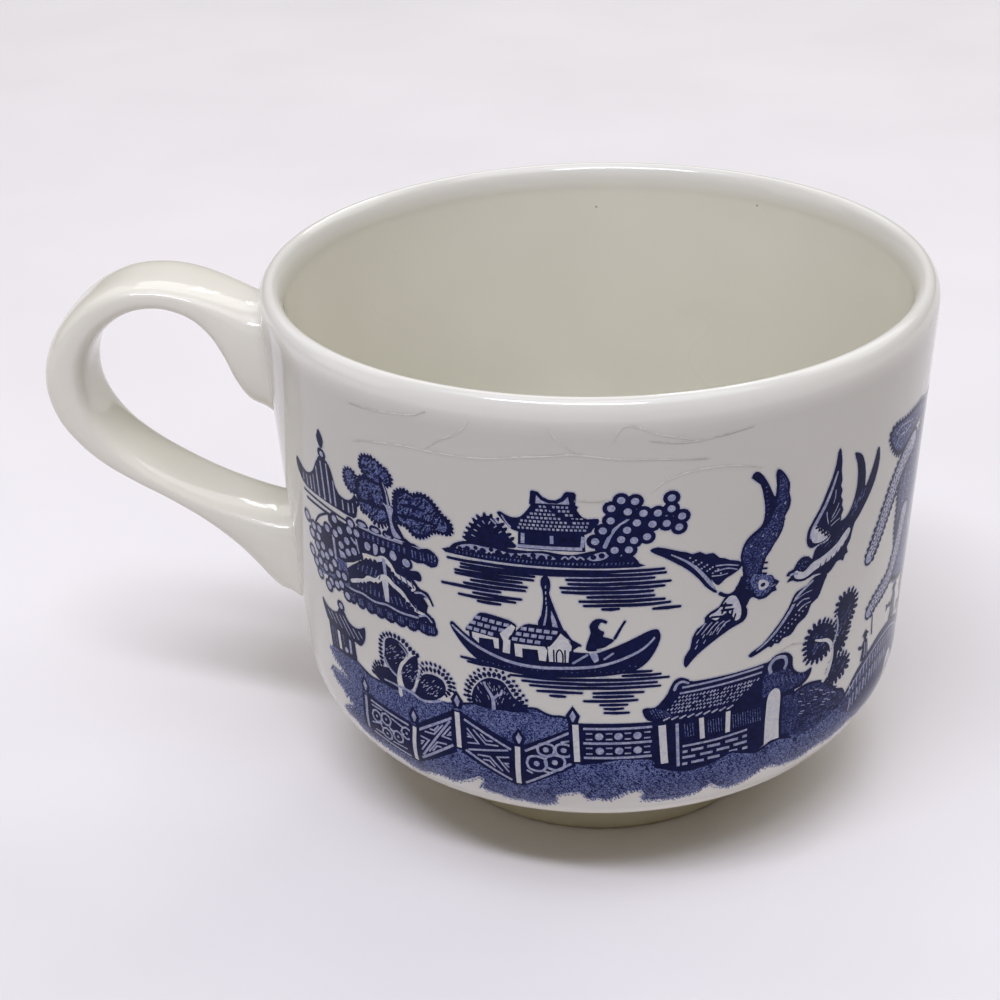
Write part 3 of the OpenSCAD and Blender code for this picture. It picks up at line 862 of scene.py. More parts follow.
def art_front_trees():
    a = [(226.8, 31.2), (227.1, 33.2), (227.6, 34.6), (229.3, 35.3), (231.4, 34.9), (232.6, 33.7), (231.5, 31.9),
         (230.0, 29.9), (228.4, 30.1)]
    c = [(223.6, 28.5), (224.4, 29.8), (226.0, 30.2), (228.0, 30.4), (229.4, 29.8), (229.4, 27.6), (226.0, 27.6)]
    d = [(233.2, 28.4), (234.4, 30.3), (235.6, 31.5), (237.5, 31.9), (239.4, 31.5), (240.0, 30.4), (239.4, 29.2),
         (236.5, 27.8), (234.4, 27.8)]
    b = [(230.9, 28.6), (230.6, 30.2), (231.4, 31.8), (232.9, 33.2), (234.4, 33.9), (234.6, 32.6), (233.8, 30.4),
         (232.9, 28.8), (231.8, 28.3)]
    P("S", [(223.2, 28.4), (241.5, 28.4), (241.0, 26.8), (232, 26.6), (226.5, 27.2)])
    for s in (a, b, c, d):
        B("D", s)
    fringe([(226.2, 30.9), (226.2, 33.0), (226.9, 34.8), (229.2, 35.6), (231.8, 35.3), (233.4, 34.3), (234.6, 33.9)],
           .66, .4, .56, -.1, closed=False)
    fringe([(223.4, 28.6), (224.2, 30.0), (226.0, 30.5)], .62, .4, .54, -.14, closed=False)
    fringe([(234.4, 30.8), (235.4, 32.2), (237.4, 32.6), (239.6, 32.4), (240.8, 31.2), (240.8, 30.2), (239.8, 29.4)],
           .6, .42, .5, -.22, closed=False)
    fringe([(234.0, 31.6), (235.2, 33.0), (237.4, 33.5), (240.0, 33.1), (241.6, 31.6), (241.6, 30.2)],
           .68, .3, .42, -.2, closed=False)
    for s in (a, b, d):
        cx = sum(p[0] for p in s) / len(s)
        cz = sum(p[1] for p in s) / len(s)
        for k in range(34):
            t, u = rnd.uniform(-2.2, 2.2), rnd.uniform(-1.3, 1.3)
            if (t / 2.3) ** 2 + (u / 1.3) ** 2 < 1:
                L("H", [(cx + t, cz + u), (cx + t + .4, cz + u + .26)], .1, .07, cap=False)
    C("W", [(229.9, 27.1), (229.8, 28.4), (229.8, 29.7), (230.7, 31.6), (231.8, 32.6), (232.5, 33.5)], .62, .38)
    C("W", [(229.8, 29.6), (228.4, 30.1), (227.4, 30.9), (226.9, 31.8)], .4, .2)
    C("W", [(232.4, 33.4), (231.8, 34.2), (230.8, 34.8)], .3, .14)
    C("W", [(226.2, 28.3), (228.0, 28.3), (229.8, 28.2), (231.4, 28.2), (232.8, 28.2), (233.8, 29.6), (234.7, 31.6),
            (234.9, 33.0)], .2, .3, .36)
    C("W", [(232.8, 28.0), (234.8, 27.5), (237.0, 27.8), (238.6, 28.3), (239.6, 29.2)], .4, .3)
    # round bush
    e = [(245.2, 29.2), (245.2, 31.0), (246.2, 32.3), (247.6, 33.2), (249.0, 33.5), (250.8, 33.2), (251.8, 32.2),
         (252.8, 30.8), (253.4, 29.4), (249.2, 28.9)]
    B("D", e)
    fringe([(244.6, 29.6), (244.6, 31.2), (245.8, 32.7), (247.3, 33.6), (249.2, 33.9), (251.2, 33.6), (252.4, 32.3),
            (253.6, 30.9), (254.4, 30.0)], .64, .4, .56, -.12, closed=False)
    fringe([(244.0, 30.2), (244.6, 32.2), (246.8, 34.1), (249.2, 34.5), (251.8, 34.0), (253.4, 32.2), (254.6, 30.8)],
           .74, .22, .42, .1, closed=False)
    P("D", [(252.0, 31.4), (253.8, 30.6), (255.4, 29.2), (252.0, 28.9)])
    C("W", [(248.9, 29.1), (248.9, 30.2), (248.6, 31.0), (248.0, 31.7), (247.4, 32.6)], .5, .3)
    C("W", [(248.9, 30.4), (249.6, 31.0), (250.3, 31.3), (250.6, 31.9)], .36, .3)
    for k in range(44):
        x, z = 245.8 + rnd.uniform(0, 6.8), 29.5 + rnd.uniform(0, 3.4)
        if ((x - 249.2) / 3.6) ** 2 + ((z - 30.6) / 2.5) ** 2 < 1:
            L("H", [(x, z), (x + (x - 249) * .1, z + .34)], .1, .07, cap=False)


def _in(q, u, v):
    """A place in a four-cornered panel, from its lower left corner."""
    return tuple((q[0][c] * (1 - u) + q[1][c] * u) * (1 - v) + (q[3][c] * (1 - u) + q[2][c] * u) * v for c in (0, 1))


def _post(x0, z0, x1, z1, w, fin):
    L("D", [(x0, z0 + .25), (x1, z1 - .3)], w + 1.0, w + .95, cap=False)
    L("W", [(x0, z0), (x1, z1)], w, w * .96, cap=False)
    fx, fz = fin
    P("D", [(fx, fz + 1.55), (fx + 1.25, fz + .1), (fx + .75, fz - 1.15), (fx - .75, fz - 1.15), (fx - 1.25, fz + .1)])
    P("W", [(fx, fz + .85), (fx + .56, fz + .02), (fx + .1, fz - .8), (fx - .1, fz - .8), (fx - .56, fz + .02)])


def art_fence():
    for q in ([(220.6, 24.6), (231.6, 23.4), (231.0, 16.9), (220.0, 18.2)],
              [(232.6, 23.4), (241.4, 27.7), (241.2, 21.2), (231.6, 16.9)],
              [(242.2, 27.7), (252.4, 24.2), (252.2, 17.6), (242.2, 21.4)],
              [(253.2, 24.0), (262.8, 27.6), (262.9, 21.7), (253.0, 17.6)]):
        P("D", q)
    P("D", [(263.6, 28.15), (276.8, 28.05), (276.8, 22.1), (275.6, 22.5), (270.6, 22.7), (263.8, 21.9)])
    # first panel: linked rings
    L("W", [(221.4, 23.75), (230.9, 22.75)], .3, cap=False)
    L("W", [(220.9, 18.75), (230.0, 17.45)], .34, cap=False)
    q = [(220.9, 19.0), (230.3, 17.7), (230.8, 22.6), (221.3, 23.6)]
    for u, v in ((.16, .62), (.42, .74), (.42, .26), (.72, .42), (.95, .72)):
        x, z = _in(q, u, v)
        p = [(x + 1.25 * cos(radians(t)), z + .88 * sin(radians(t))) for t in range(0, 361, 45)]
        L("W", p, .27, cap=False)
        disc("H", x, z, .2)
    for u0, v0, u1, v1 in ((.02, .3, .3, .5), (.24, .5, .3, .62), (.3, .36, .24, .5), (.52, .5, .62, .44), (.5, .56, .6, .5),
                           (.8, .56, .88, .64), (.56, .9, .84, .84), (.04, .9, .3, .94), (.56, .1, .9, .16),
                           (.08, .1, .3, .14)):
        L("W", [_in(q, u0, v0), _in(q, u1, v1)], .24)
    # second and third panels: a brace with nested angles on either side
    for q, w in (([(233.0, 18.2), (240.5, 22.1), (240.7, 26.2), (233.2, 22.7)], .3),
                 ([(243.0, 21.9), (251.4, 18.5), (251.6, 23.3), (243.1, 26.5)], .28)):
        L("W", [_in(q, 0, 0), _in(q, 1, 0)], w + .06, cap=False)
        L("W", [_in(q, 0, 1), _in(q, 1, 1)], w + .06, cap=False)
        L("W", [_in(q, .06, .08), _in(q, .94, .92)], w, cap=False)
        for pts in ([(.06, .3), (.3, .52), (.06, .76)], [(.2, .86), (.46, .66), (.72, .86)], [(.06, .5), (.14, .56), (.06, .6)],
                    [(.36, .88), (.47, .79), (.6, .89)]):
            L("W", [_in(q, *p) for p in pts], w * .8)
            L("W", [_in(q, 1 - p[0], 1 - p[1]) for p in pts], w * .8)
    # fourth panel
    L("W", [(254.1, 23.4), (262.0, 26.7)], .34, cap=False)
    L("W", [(253.9, 18.4), (262.2, 22.1)], .34, cap=False)
    for x, z in ((256.1, 21.7), (259.3, 22.1), (257.8, 23.9), (260.9, 24.0)):
        r = 1.0 if z < 23 else .85
        C("W", [(x - 1.75 * r, z), (x - 1.3 * r, z + .85 * r), (x, z + 1.1 * r), (x + 1.4 * r, z + .8 * r),
                (x + 1.75 * r, z), (x + 1.2 * r, z - .9 * r), (x, z - 1.1 * r), (x - 1.3 * r, z - .8 * r), (x - 1.75 * r, z)],
          .32)
        disc("W", x, z, .38)
    L("W", [(254.4, 20.5), (255.2, 20.2)], .28)
    L("W", [(260.6, 25.2), (262.3, 25.5)], .28)
    L("W", [(257.1, 20.7), (258.6, 20.5)], .24)
    # straight panel
    for z in (27.35, 25.2, 23.05):
        L("W", [(264.3, z), (270, z - .04), (276.0, z)], .34, cap=False)
    for z, off in ((26.2, 0), (24.05, .1)):
        for x in (267.0, 270.3, 273.5):
            disc("W", x + off, z, .52, n=14)
        for x in (265.3, 268.7, 271.9, 275.2):
            for dz in (-.42, .42):
                L("W", [(x - .55, z + dz), (x + .55, z + dz)], .2, cap=False)
    _post(220.0, 24.0, 219.5, 18.9, .5, (220.2, 25.6))
    _post(232.3, 22.9, 231.3, 17.3, .6, (232.4, 24.5))
    _post(241.8, 27.3, 241.7, 22.0, .68, (242.0, 29.0))
    _post(252.8, 23.9, 252.6, 18.1, .68, (253.1, 25.2))
    _post(263.0, 27.9, 263.2, 22.4, .76, (262.6, 29.1))


def art_gate():
    P("D", [(276.6, 28.2), (303.0, 28.2), (302.6, 21.0), (300.3, 21.5), (297.0, 21.3), (295.4, 20.5), (293.0, 20.9),
            (290.5, 21.5), (288.0, 20.9), (285.0, 20.3), (282.0, 20.1), (279.0, 20.6), (276.5, 22.1)])
    P("D", _cr([(279.0, 32.9), (279.6, 33.7), (280.8, 34.05), (282.1, 33.6), (283.0, 33.25), (290.0, 33.3),
                (296.6, 33.6), (297.6, 34.1), (299.3, 34.3), (300.9, 33.9), (301.9, 33.0), (302.0, 32.0), (302.5, 31.1),
                (303.8, 30.3), (305.2, 30.1), (306.4, 30.35), (306.6, 29.8), (306.0, 28.9), (304.8, 28.3),
                (303.0, 28.0), (290, 27.9), (278.0, 27.8), (276.4, 28.0), (275.2, 28.3), (274.5, 29.1), (274.3, 29.9),
                (275.0, 30.15), (276.4, 30.1), (277.5, 30.9), (278.5, 31.9)], True, 2))
    C("W", [(279.7, 32.4), (280.1, 33.1), (281.0, 33.4), (282.0, 33.1)], .4, .3)
    L("W", [(281.0, 32.55), (295.8, 33.15)], .28, cap=False)
    L("W", [(280.6, 31.75), (295.6, 32.35)], .26, cap=False)
    # tiled slope
    for r in range(5):
        z = 31.2 - .52 * r
        for k in range(26):
            x = 280.6 - r * .62 + k * .62 + rnd.uniform(-.1, .1)
            if x > 295 - r * .9:
                continue
            if rnd.random() < .12:
                continue
            l = rnd.uniform(.12, .24)
            zz = z + (x - 280) * .018
            L("W", [(x - l, zz - l * .8), (x + l, zz + l * .7)], rnd.uniform(.13, .24), cap=False)
    C("D", [(277.6, 28.75), (284.0, 28.85), (291.0, 28.95)], .3, .25)
    for k in range(9):
        x = 278.0 + k * 1.42
        L("W", [(x, 28.1 + k * .02), (x + .95, 28.42 + k * .02)], .26, .2)
    for k in range(7):
        L("S", [(275.6 + k * .42, 29.9 - abs(k - 2) * .1), (276.4 + k * .5, 28.5)], .13, cap=False)
    P("T", [(300.7, 22.0), (302.6, 21.6), (302.8, 27.5), (300.5, 27.6)])
    P("T", [(295.8, 31.0), (296.6, 32.0), (301.4, 31.6), (302.4, 30.4), (304.0, 29.7), (305.6, 29.4), (304.2, 28.6),
            (301.0, 28.3), (296.0, 28.5)])
    C("W", [(297.4, 31.9), (297.1, 32.8), (297.9, 33.6), (299.0, 33.75), (300.2, 33.4), (300.6, 32.5), (300.3, 31.9)], .5, .44)
    disc("D", 298.9, 32.6, .62)
    C("D", [(301.8, 32.4), (302.2, 31.2), (303.6, 30.2), (305.4, 29.9)], .2)
    for k in range(10):
        L("S", [(296.0 + k * .95, 30.9 - k * .08), (296.6 + k * .95, 29.8 - k * .1)], .15, .1, cap=False)
    # posts, windows and bricks
    L("W", [(277.7, 27.4), (278.3, 21.7)], .92, cap=False)
    P("D", [(276.6, 22.3), (279.2, 20.9), (280, 20.4), (276.4, 21.2)])
    L("W", [(280.3, 27.4), (280.75, 21.0)], .4, cap=False)
    L("W", [(284.6, 27.7), (284.95, 24.6)], .62, cap=False)
    L("W", [(289.5, 27.85), (289.6, 24.75)], .62, cap=False)
    for x0, x1 in ((281.6, 283.8), (285.8, 288.8), (290.4, 296.2)):
        n = int((x1 - x0) / .48)
        for k in range(n):
            x = x0 + k * .48
            L("S", [(x, 27.2 - .1 * (k % 2)), (x + .3, 25.2)], .1, cap=False)
    L("W", [(281.4, 23.9), (287.4, 24.05), (293.4, 24.4)], .3, cap=False)
    for x, z, l in ((281.9, 23.05, .9), (284.1, 23.15, 2.2), (287.1, 23.25, 2.4), (290.5, 23.4, 2.4), (293.0, 23.5, .9),
                    (282.6, 22.2, 2.3), (285.8, 22.3, 2.3), (288.9, 22.45, 2.4), (292.2, 22.6, 2.6),
                    (281.9, 21.25, .9), (284.2, 21.35, 2.3), (287.2, 21.5, 2.2), (290.9, 21.75, 1.6), (293.2, 21.7, 1.0)):
        P("W", [(x - l / 2, z - .2), (x + l / 2, z - .17), (x + l / 2, z + .2), (x - l / 2, z + .17)])
    P("V", _cr([(297.05, 27.6), (297.4, 28.7), (298.5, 29.3), (299.6, 28.8), (299.9, 27.6)], False, 4)
      + [(299.95, 24), (300.25, 21.55), (298.6, 21.6), (297.1, 21.3), (297.0, 24.5)])
    C("D", [(276.5, 22.2), (279.0, 20.75), (282.0, 20.2), (285.0, 20.4), (288.0, 21.0), (290.5, 21.6), (293.0, 21.1),
            (295.5, 20.6), (298.0, 21.2), (300.4, 21.4), (303.0, 20.9)], .32)


def art_gate_tree():
    P("T", [(302.9, 27.7), (303.0, 21.2), (306.0, 20.6), (311.4, 21.0), (315.0, 21.8), (317.6, 22.6), (316.0, 24.0),
            (313.4, 24.9), (312.4, 26.0), (310.4, 27.1), (307.2, 27.75), (305.0, 27.9)])
    for k in range(64):
        x, z = rnd.uniform(303.4, 314.6), rnd.uniform(21.6, 27.0)
        if z < 27.2 - max(0, x - 308) * .45:
            C("D", [(x, z - .1), (x + .9, z + .12), (x + 1.8, z - .12)], .14, .1, .22, n=3, cap=False)
    for k in range(22):
        x, z = rnd.uniform(303.8, 313.0), rnd.uniform(23.6, 27.0)
        if z < 27.0 - max(0, x - 308) * .45:
            L("H", [(x, z), (x + .9, z - .2)], .12, .08, cap=False)
    C("D", [(302.8, 27.5), (305.0, 27.95), (307.5, 27.8), (310.2, 27.1), (312.4, 25.8), (314.0, 24.7), (315.8, 24.1),
            (316.8, 23.0)], .4)
    a = [(305.0, 32.8), (304.8, 34.4), (305.8, 35.8), (307.6, 36.3), (309.6, 35.8), (311.0, 35.0), (311.9, 33.4),
         (311.0, 31.9), (309.0, 31.2), (306.6, 31.2), (305.3, 31.9)]
    b = [(312.0, 36.3), (312.2, 38.1), (313.6, 38.7), (315.4, 38.6), (316.6, 37.6), (316.8, 36.2), (315.9, 34.6),
         (315.3, 33.0), (314.8, 31.4), (313.2, 30.6), (312.4, 31.6), (312.9, 33.5), (312.5, 35.3)]
    c = [(311.8, 29.4), (313.4, 29.7), (315.4, 29.3), (316.6, 28.4), (316.2, 27.3), (314.6, 26.7), (312.8, 26.2),
         (311.4, 27.0)]
    B("D", [(311.2, 27.0), (312.6, 26.6), (313.2, 31.0), (313.0, 33.0), (311.6, 31.0)])
    for s in (a, b, c):
        B("D", s)
        fringe(s, .74, .6, .56, -.12)
    for s, n in ((a, 20), (b, 20), (c, 9)):
        cx, cz = sum(p[0] for p in s) / len(s), sum(p[1] for p in s) / len(s)
        for k in range(n):
            t, u = rnd.uniform(-.62, .62), rnd.uniform(-.62, .62)
            x, z = cx + t * 3.0, cz + u * (2.2 if s is not b else 3.4)
            L("S", [(x - .3, z - .22), (x + .3, z + .22)], .14, .1, cap=False)
    C("W", [(310.0, 27.4), (310.9, 28.3), (311.4, 29.6), (311.5, 31.0), (311.0, 32.4), (309.8, 33.3), (308.2, 33.7),
            (306.9, 34.1)], .7, .24, .62)
    C("W", [(311.3, 31.6), (312.1, 32.9), (312.4, 34.2), (312.2, 35.4), (311.8, 36.2)], .36, .26)


def art_island():
    P("D", _cr([(242.2, 50.1), (243.0, 50.9), (243.8, 51.5), (244.8, 51.9), (246.6, 52.25), (250.0, 52.1), (253.0, 52.0),
                (256.0, 51.9), (258.5, 52.05), (260.0, 51.9), (262.0, 51.7), (264.0, 51.8), (266.0, 52.2), (268.5, 52.4),
                (270.4, 52.2), (271.9, 51.8), (272.9, 51.2), (273.6, 50.4), (273.4, 49.9), (258.0, 49.95)], True, 2))
    P("H", _cr([(244.2, 50.95), (245.2, 51.55), (247.0, 51.85), (249.0, 51.75), (251.0, 51.7), (253.0, 51.35),
                (255.2, 51.5), (257.6, 51.7), (259.4, 51.6), (260.6, 51.0), (259.0, 50.95), (256.0, 50.85), (252.0, 50.95),
                (248.0, 50.9), (246, 50.8)], True, 2))
    P("H", _cr([(265.4, 51.2), (266.8, 51.9), (268.2, 52.1), (268.8, 51.6), (268.0, 51.1), (266.6, 50.9)], True, 2))
    for x, z, r in ((244.9, 51.0, .34), (246.2, 51.2, .36), (247.6, 51.45, .3), (247.0, 50.9, .3), (248.8, 51.2, .42),
                    (250.2, 51.5, .3), (251.4, 51.2, .45), (252.8, 51.0, .4), (254.2, 51.2, .28), (255.6, 51.0, .45),
                    (257.0, 51.35, .36), (258.4, 51.1, .42), (259.6, 51.2, .3), (266.4, 51.4, .36), (267.7, 51.6, .38)):
        disc("D", x, z, r, n=7)
    for k in range(19):
        x = 244.8 + k * .82 + rnd.uniform(-.15, .15)
        disc("D", x, 50.95 + rnd.uniform(-.05, .1), rnd.uniform(.18, .3), n=6)
    for x, z in ((262.0, 51.1), (263.2, 51.2), (264.4, 51.1), (270.2, 51.6)):
        C("W", [(x - .5, z), (x, z + .3), (x + .5, z)], .2)
    for k in range(44):
        x = 244 + k * .66
        L("S", [(x, 50.3), (x + .15, 50.62)], .16, cap=False)
    # pavilion
    P("D", [(254.8, 54.6), (254.6, 52.2), (265.2, 52.1), (265.1, 54.6)])
    P("D", _cr([(251.5, 56.6), (252.1, 56.8), (252.8, 56.5), (254.0, 56.2), (255.2, 56.4), (256.2, 57.2), (256.9, 58.0),
                (257.2, 58.3), (263.7, 58.3), (264.0, 57.6), (264.7, 56.8), (265.6, 56.45), (267.2, 56.5), (267.3, 55.9),
                (266.4, 55.1), (265.3, 54.4), (260.0, 54.3), (254.6, 54.4), (253.4, 54.9), (252.2, 55.8)], True, 2))
    P("D", [(256.7, 58.2), (256.95, 59.8), (257.2, 59.95), (258.1, 59.8), (258.8, 59.2), (259.7, 58.85), (260.8, 58.8),
            (261.6, 59.15), (262.1, 59.75), (262.5, 59.95), (263.6, 59.9), (263.9, 59.6), (263.8, 58.1)])
    P("W", [(257.7, 58.3), (257.85, 59.35), (258.5, 58.75), (259.7, 58.35), (261.0, 58.35), (262.0, 58.7),
            (262.7, 59.3), (262.85, 58.3)])
    for k, (z, x0, x1) in enumerate(((57.9, 258.4, 262.6), (57.4, 257.6, 263.2), (56.9, 257.0, 263.8), (56.4, 256.2, 265.2),
                                     (55.9, 255.4, 266.2), (55.4, 254.9, 265.8), (54.95, 254.9, 265.2))):
        x = x0 + (k % 2) * .3
        while x < x1:
            if abs(x - (259.6 + (57.9 - z) * 1.7)) > .5 or z < 55.6:
                w = rnd.uniform(.17, .25)
                P("H", [(x - w, z - .14), (x + w, z - .15), (x + w, z + .13), (x - w, z + .14)])
            x += .68
    C("D", [(259.4, 58.1), (260.6, 57.2), (262.2, 56.4), (264.0, 56.2), (266.0, 56.3)], .4, .3)
    C("W", [(252.3, 56.3), (252.9, 55.5), (253.6, 54.9)], .16)
    L("W", [(255.5, 54.25), (255.4, 52.9)], .42, cap=False)
    L("W", [(260.0, 54.1), (260.0, 53.05)], .4, cap=False)
    L("W", [(264.9, 54.1), (264.7, 52.7)], .42, cap=False)
    L("W", [(254.6, 52.5), (264.7, 52.48)], .42, cap=False)
    L("W", [(253.6, 54.2), (254.4, 52.6)], .4, .3, cap=False)
    # shrub beside it
    s = [(246.2, 52.1), (246.9, 54.0), (248.3, 55.4), (249.7, 56.0), (251.2, 55.7), (252.4, 54.6), (253.4, 53.3),
         (254.0, 52.1)]
    B("D", s)
    fringe([(246.2, 52.5), (247.0, 54.0), (248.4, 55.3), (249.7, 55.8), (251.2, 55.5), (252.4, 54.5), (253.6, 53.2)],
           .72, .52, .44, -.12, closed=False)
    for x, z, nx, nz in walk([(247.2, 53.1), (247.9, 54.2), (248.8, 55.0), (249.8, 55.3), (251.0, 54.9), (252.0, 54.1)], .9, False):
        L("H", [((x + nx * .1) / KU, z + nz * .1), ((x - nx * .35) / KU, z - nz * .35)], .16, .1, cap=False)
    L("W", [(251.0, 55.9), (251.6, 55.2)], .3, .2)
    L("W", [(250.5, 55.6), (251.2, 55.1)], .2)
    # fruit tree
    P("D", [(266.6, 52.3), (273.0, 52.3), (273.6, 54.4), (279.0, 55.6), (278.2, 57.6), (273.0, 57.6), (270.0, 58.2), (268.6, 56.4),
            (267.2, 54.4)])
    C("W", [(268.2, 52.8), (269.0, 54.2), (270.0, 55.3), (271.4, 56.1), (273.2, 57.1)], .5, .22)
    C("W", [(277.0, 56.3), (278.2, 56.5), (279.2, 56.2)], .18)
    fruits([(269.2, 57.8), (270.7, 58.8), (272.8, 58.6), (271.7, 57.3), (274.1, 57.0), (276.3, 56.9), (278.4, 58.7),
            (278.4, 57.3), (280.1, 56.2), (277.7, 55.45), (279.7, 54.8), (275.5, 55.5), (273.1, 55.8), (271.6, 54.9),
            (274.7, 53.9), (272.7, 53.5), (270.7, 53.7), (271.9, 52.3), (269.7, 52.3), (269.1, 56.2), (267.9, 54.9),
            (266.7, 53.5)], .98, .46)
    rows([(242.6, 277.4, 49.45), (244.9, 277.7, 48.95), (244.8, 257.0, 48.5), (243.8, 256.8, 48.0),
          (243.8, 254.9, 47.5), (246.5, 255.7, 46.95), (245.2, 255.4, 46.4), (241.2, 251.3, 45.85), (246.7, 254.7, 45.2),
          (244.1, 253.7, 44.7), (247.4, 251.2, 44.15), (262.2, 275.9, 48.35), (262.5, 278.5, 47.75),
          (261.2, 277.5, 47.2), (261.5, 275.7, 46.6), (265.5, 275.9, 46.0), (264.2, 277.6, 45.4), (264.9, 278.5, 44.85),
          (267.8, 270.3, 44.35), (275.9, 280.2, 44.15)], .49, 45.0)


def tiles(spec, pitch, fall):
    """Rows of light roof tiles with dark joints; each row a height, a start and a number."""
    for z, x0, n in spec:
        for k in range(n):
            x, zz = x0 + k * pitch, z + k * pitch * fall
            P("W", [(x - .5, zz - .23), (x + .42, zz - .27), (x + .56, zz + .21), (x - .34, zz + .25)])


def art_boat():
    rows([(243.6, 249.0, 35.7), (244.8, 252.0, 35.25), (252.3, 278.6, 34.4), (254.3, 276.6, 33.8), (255.6, 277.2, 33.25),
          (256.8, 264.2, 32.55), (266.2, 274.4, 32.55), (259.0, 261.4, 31.95), (266.2, 272.7, 32.0), (264.6, 273.4, 31.4),
          (267.3, 271.7, 30.8), (268.0, 271.0, 30.25), (268.0, 272.0, 29.65), (270.5, 275.7, 35.45), (271.0, 277.2, 34.95)],
         .46, 31.8)
    P("D", _cr([(241.9, 40.1), (242.3, 40.6), (243.0, 40.3), (244.6, 39.3), (246.6, 38.6), (252.0, 37.6), (258.0, 37.2),
                (263.0, 37.6), (266.5, 38.0), (269.5, 39.0), (272.5, 40.1), (274.8, 41.0), (276.4, 41.3), (277.0, 40.8),
                (277.1, 39.8), (276.3, 38.2), (275.0, 36.7), (273.2, 35.7), (270.5, 35.2), (266.0, 34.85),
                (260.0, 34.6), (255.0, 34.6), (251.0, 34.85), (248.0, 35.3), (246.0, 36.1), (244.2, 37.4), (242.7, 38.9)],
               True, 2))
    for k in range(30):
        x = 246.5 + k * .95
        z = 35.6 if x < 272 else 36.2
        disc("S", x, z + .15 * math.sin(k), .08, n=5)
    # mast, with its stays
    P("D", _cr([(258.1, 48.3), (258.8, 48.85), (259.4, 48.4), (259.6, 47.4), (259.35, 46.4), (259.6, 45.6), (260.2, 44.2),
                (260.9, 42.6), (261.6, 41.3), (262.4, 40.2), (261.3, 40.4), (257.3, 41.5), (257.9, 43.3), (258.25, 45.0),
                (258.3, 46.4), (258.0, 47.4)], True, 2))
    P("H", [(258.8, 44.6), (258.95, 44.6), (258.85, 43.2), (258.5, 41.9), (258.15, 41.9), (258.6, 43.4)])
    P("H", [(259.55, 44.0), (259.8, 43.6), (260.3, 42.6), (260.55, 41.7), (259.7, 41.8), (259.5, 43.0)])
    for z in (44.8, 45.4, 46.2, 47.0):
        L("H", [(258.75, z), (258.8, z + .4)], .12, cap=False)
    L("D", [(261.6, 41.2), (262.6, 40.0), (264.1, 39.3)], .34)
    P("D", [(262.6, 40.1), (264.2, 39.35), (262.9, 38.6), (262.4, 39.2)])
    # cabins
    P("D", [(245.3, 40.2), (245.5, 37.6), (250.0, 37.0), (253.0, 37.0), (253.7, 41.4), (250.0, 41.0)])
    P("V", [(245.9, 39.75), (250.1, 39.75), (250.55, 39.3), (250.5, 37.9), (247.4, 38.0), (245.95, 38.9)])
    P("D", [(247.0, 38.0), (247.1, 39.05), (249.6, 39.1), (249.75, 37.8)])
    P("D", _cr([(244.7, 39.75), (245.2, 40.4), (246.1, 41.3), (247.0, 42.2), (247.8, 42.65), (249.5, 42.6), (251.6, 42.3),
                (252.9, 42.0), (253.8, 41.4), (252.9, 40.8), (251.4, 39.8), (250.4, 39.35), (247.6, 39.6), (245.4, 39.7)], True, 2))
    tiles(((41.85, 247.1, 5), (41.05, 246.2, 5), (40.2, 245.5, 4)), 1.22, -.09)
    P("V", [(252.9, 41.6), (253.55, 41.25), (252.65, 39.9), (252.35, 37.4), (251.15, 37.5), (251.35, 39.1), (250.8, 40.1)])
    P("D", [(252.6, 39.3), (252.8, 37.0), (258.8, 36.7), (263.2, 36.8), (262.9, 39.4), (261.0, 41.0)])
    P("V", [(253.2, 38.95), (258.3, 38.9), (258.7, 38.4), (258.4, 36.85), (253.3, 37.2)])
    P("D", [(254.5, 36.9), (254.5, 38.4), (257.1, 38.4), (257.3, 36.8)])
    P("V", [(261.0, 40.9), (262.0, 40.15), (262.7, 39.2), (262.65, 38.6), (262.3, 38.4), (262.1, 36.85), (258.95, 36.85),
            (258.75, 39.0), (259.6, 39.9)])
    for x in (259.75, 261.6):
        L("D", [(x, 36.7), (x, 38.6)], .2, cap=False)
    C("D", [(260.2, 36.7), (260.2, 38.0), (260.7, 38.6), (261.2, 38.0), (261.2, 36.7)], .2)
    P("D", _cr([(252.2, 39.4), (253.3, 40.5), (254.6, 41.5), (255.8, 41.95), (258.4, 41.8), (261.2, 41.5), (260.8, 40.7),
                (259.5, 39.3), (258.6, 38.9), (255.6, 39.1)], True, 2))
    tiles(((41.2, 254.9, 5), (40.4, 254.0, 5), (39.6, 253.3, 4)), 1.26, -.04)
    # gunwale
    C("W", [(242.4, 40.0), (243.0, 39.6), (244.0, 39.0), (245.5, 38.2), (247.2, 37.55), (249.2, 36.95), (251.5, 36.4),
            (254.0, 36.05), (257.2, 35.9), (260.8, 36.0), (264.0, 36.15), (267.2, 36.45), (270.5, 37.2), (273.8, 38.4),
            (275.5, 39.5), (276.1, 40.1)], .26, .24, .42, n=3)
    # deck
    P("D", [(262.6, 37.0), (262.7, 38.4), (266.6, 38.2), (270.0, 39.2), (275.0, 41.0), (275.2, 40.0), (272.0, 38.2), (268.0, 37.0)])
    L("W", [(262.9, 36.8), (265.2, 38.0)], .3)
    P("W", [(265.4, 38.5), (266.9, 38.1), (267.1, 37.2), (266.4, 36.9), (265.9, 37.5)])
    L("W", [(268.0, 37.4), (269.4, 38.2)], .26)
    L("W", [(263.4, 38.55), (265.0, 38.6)], .26)
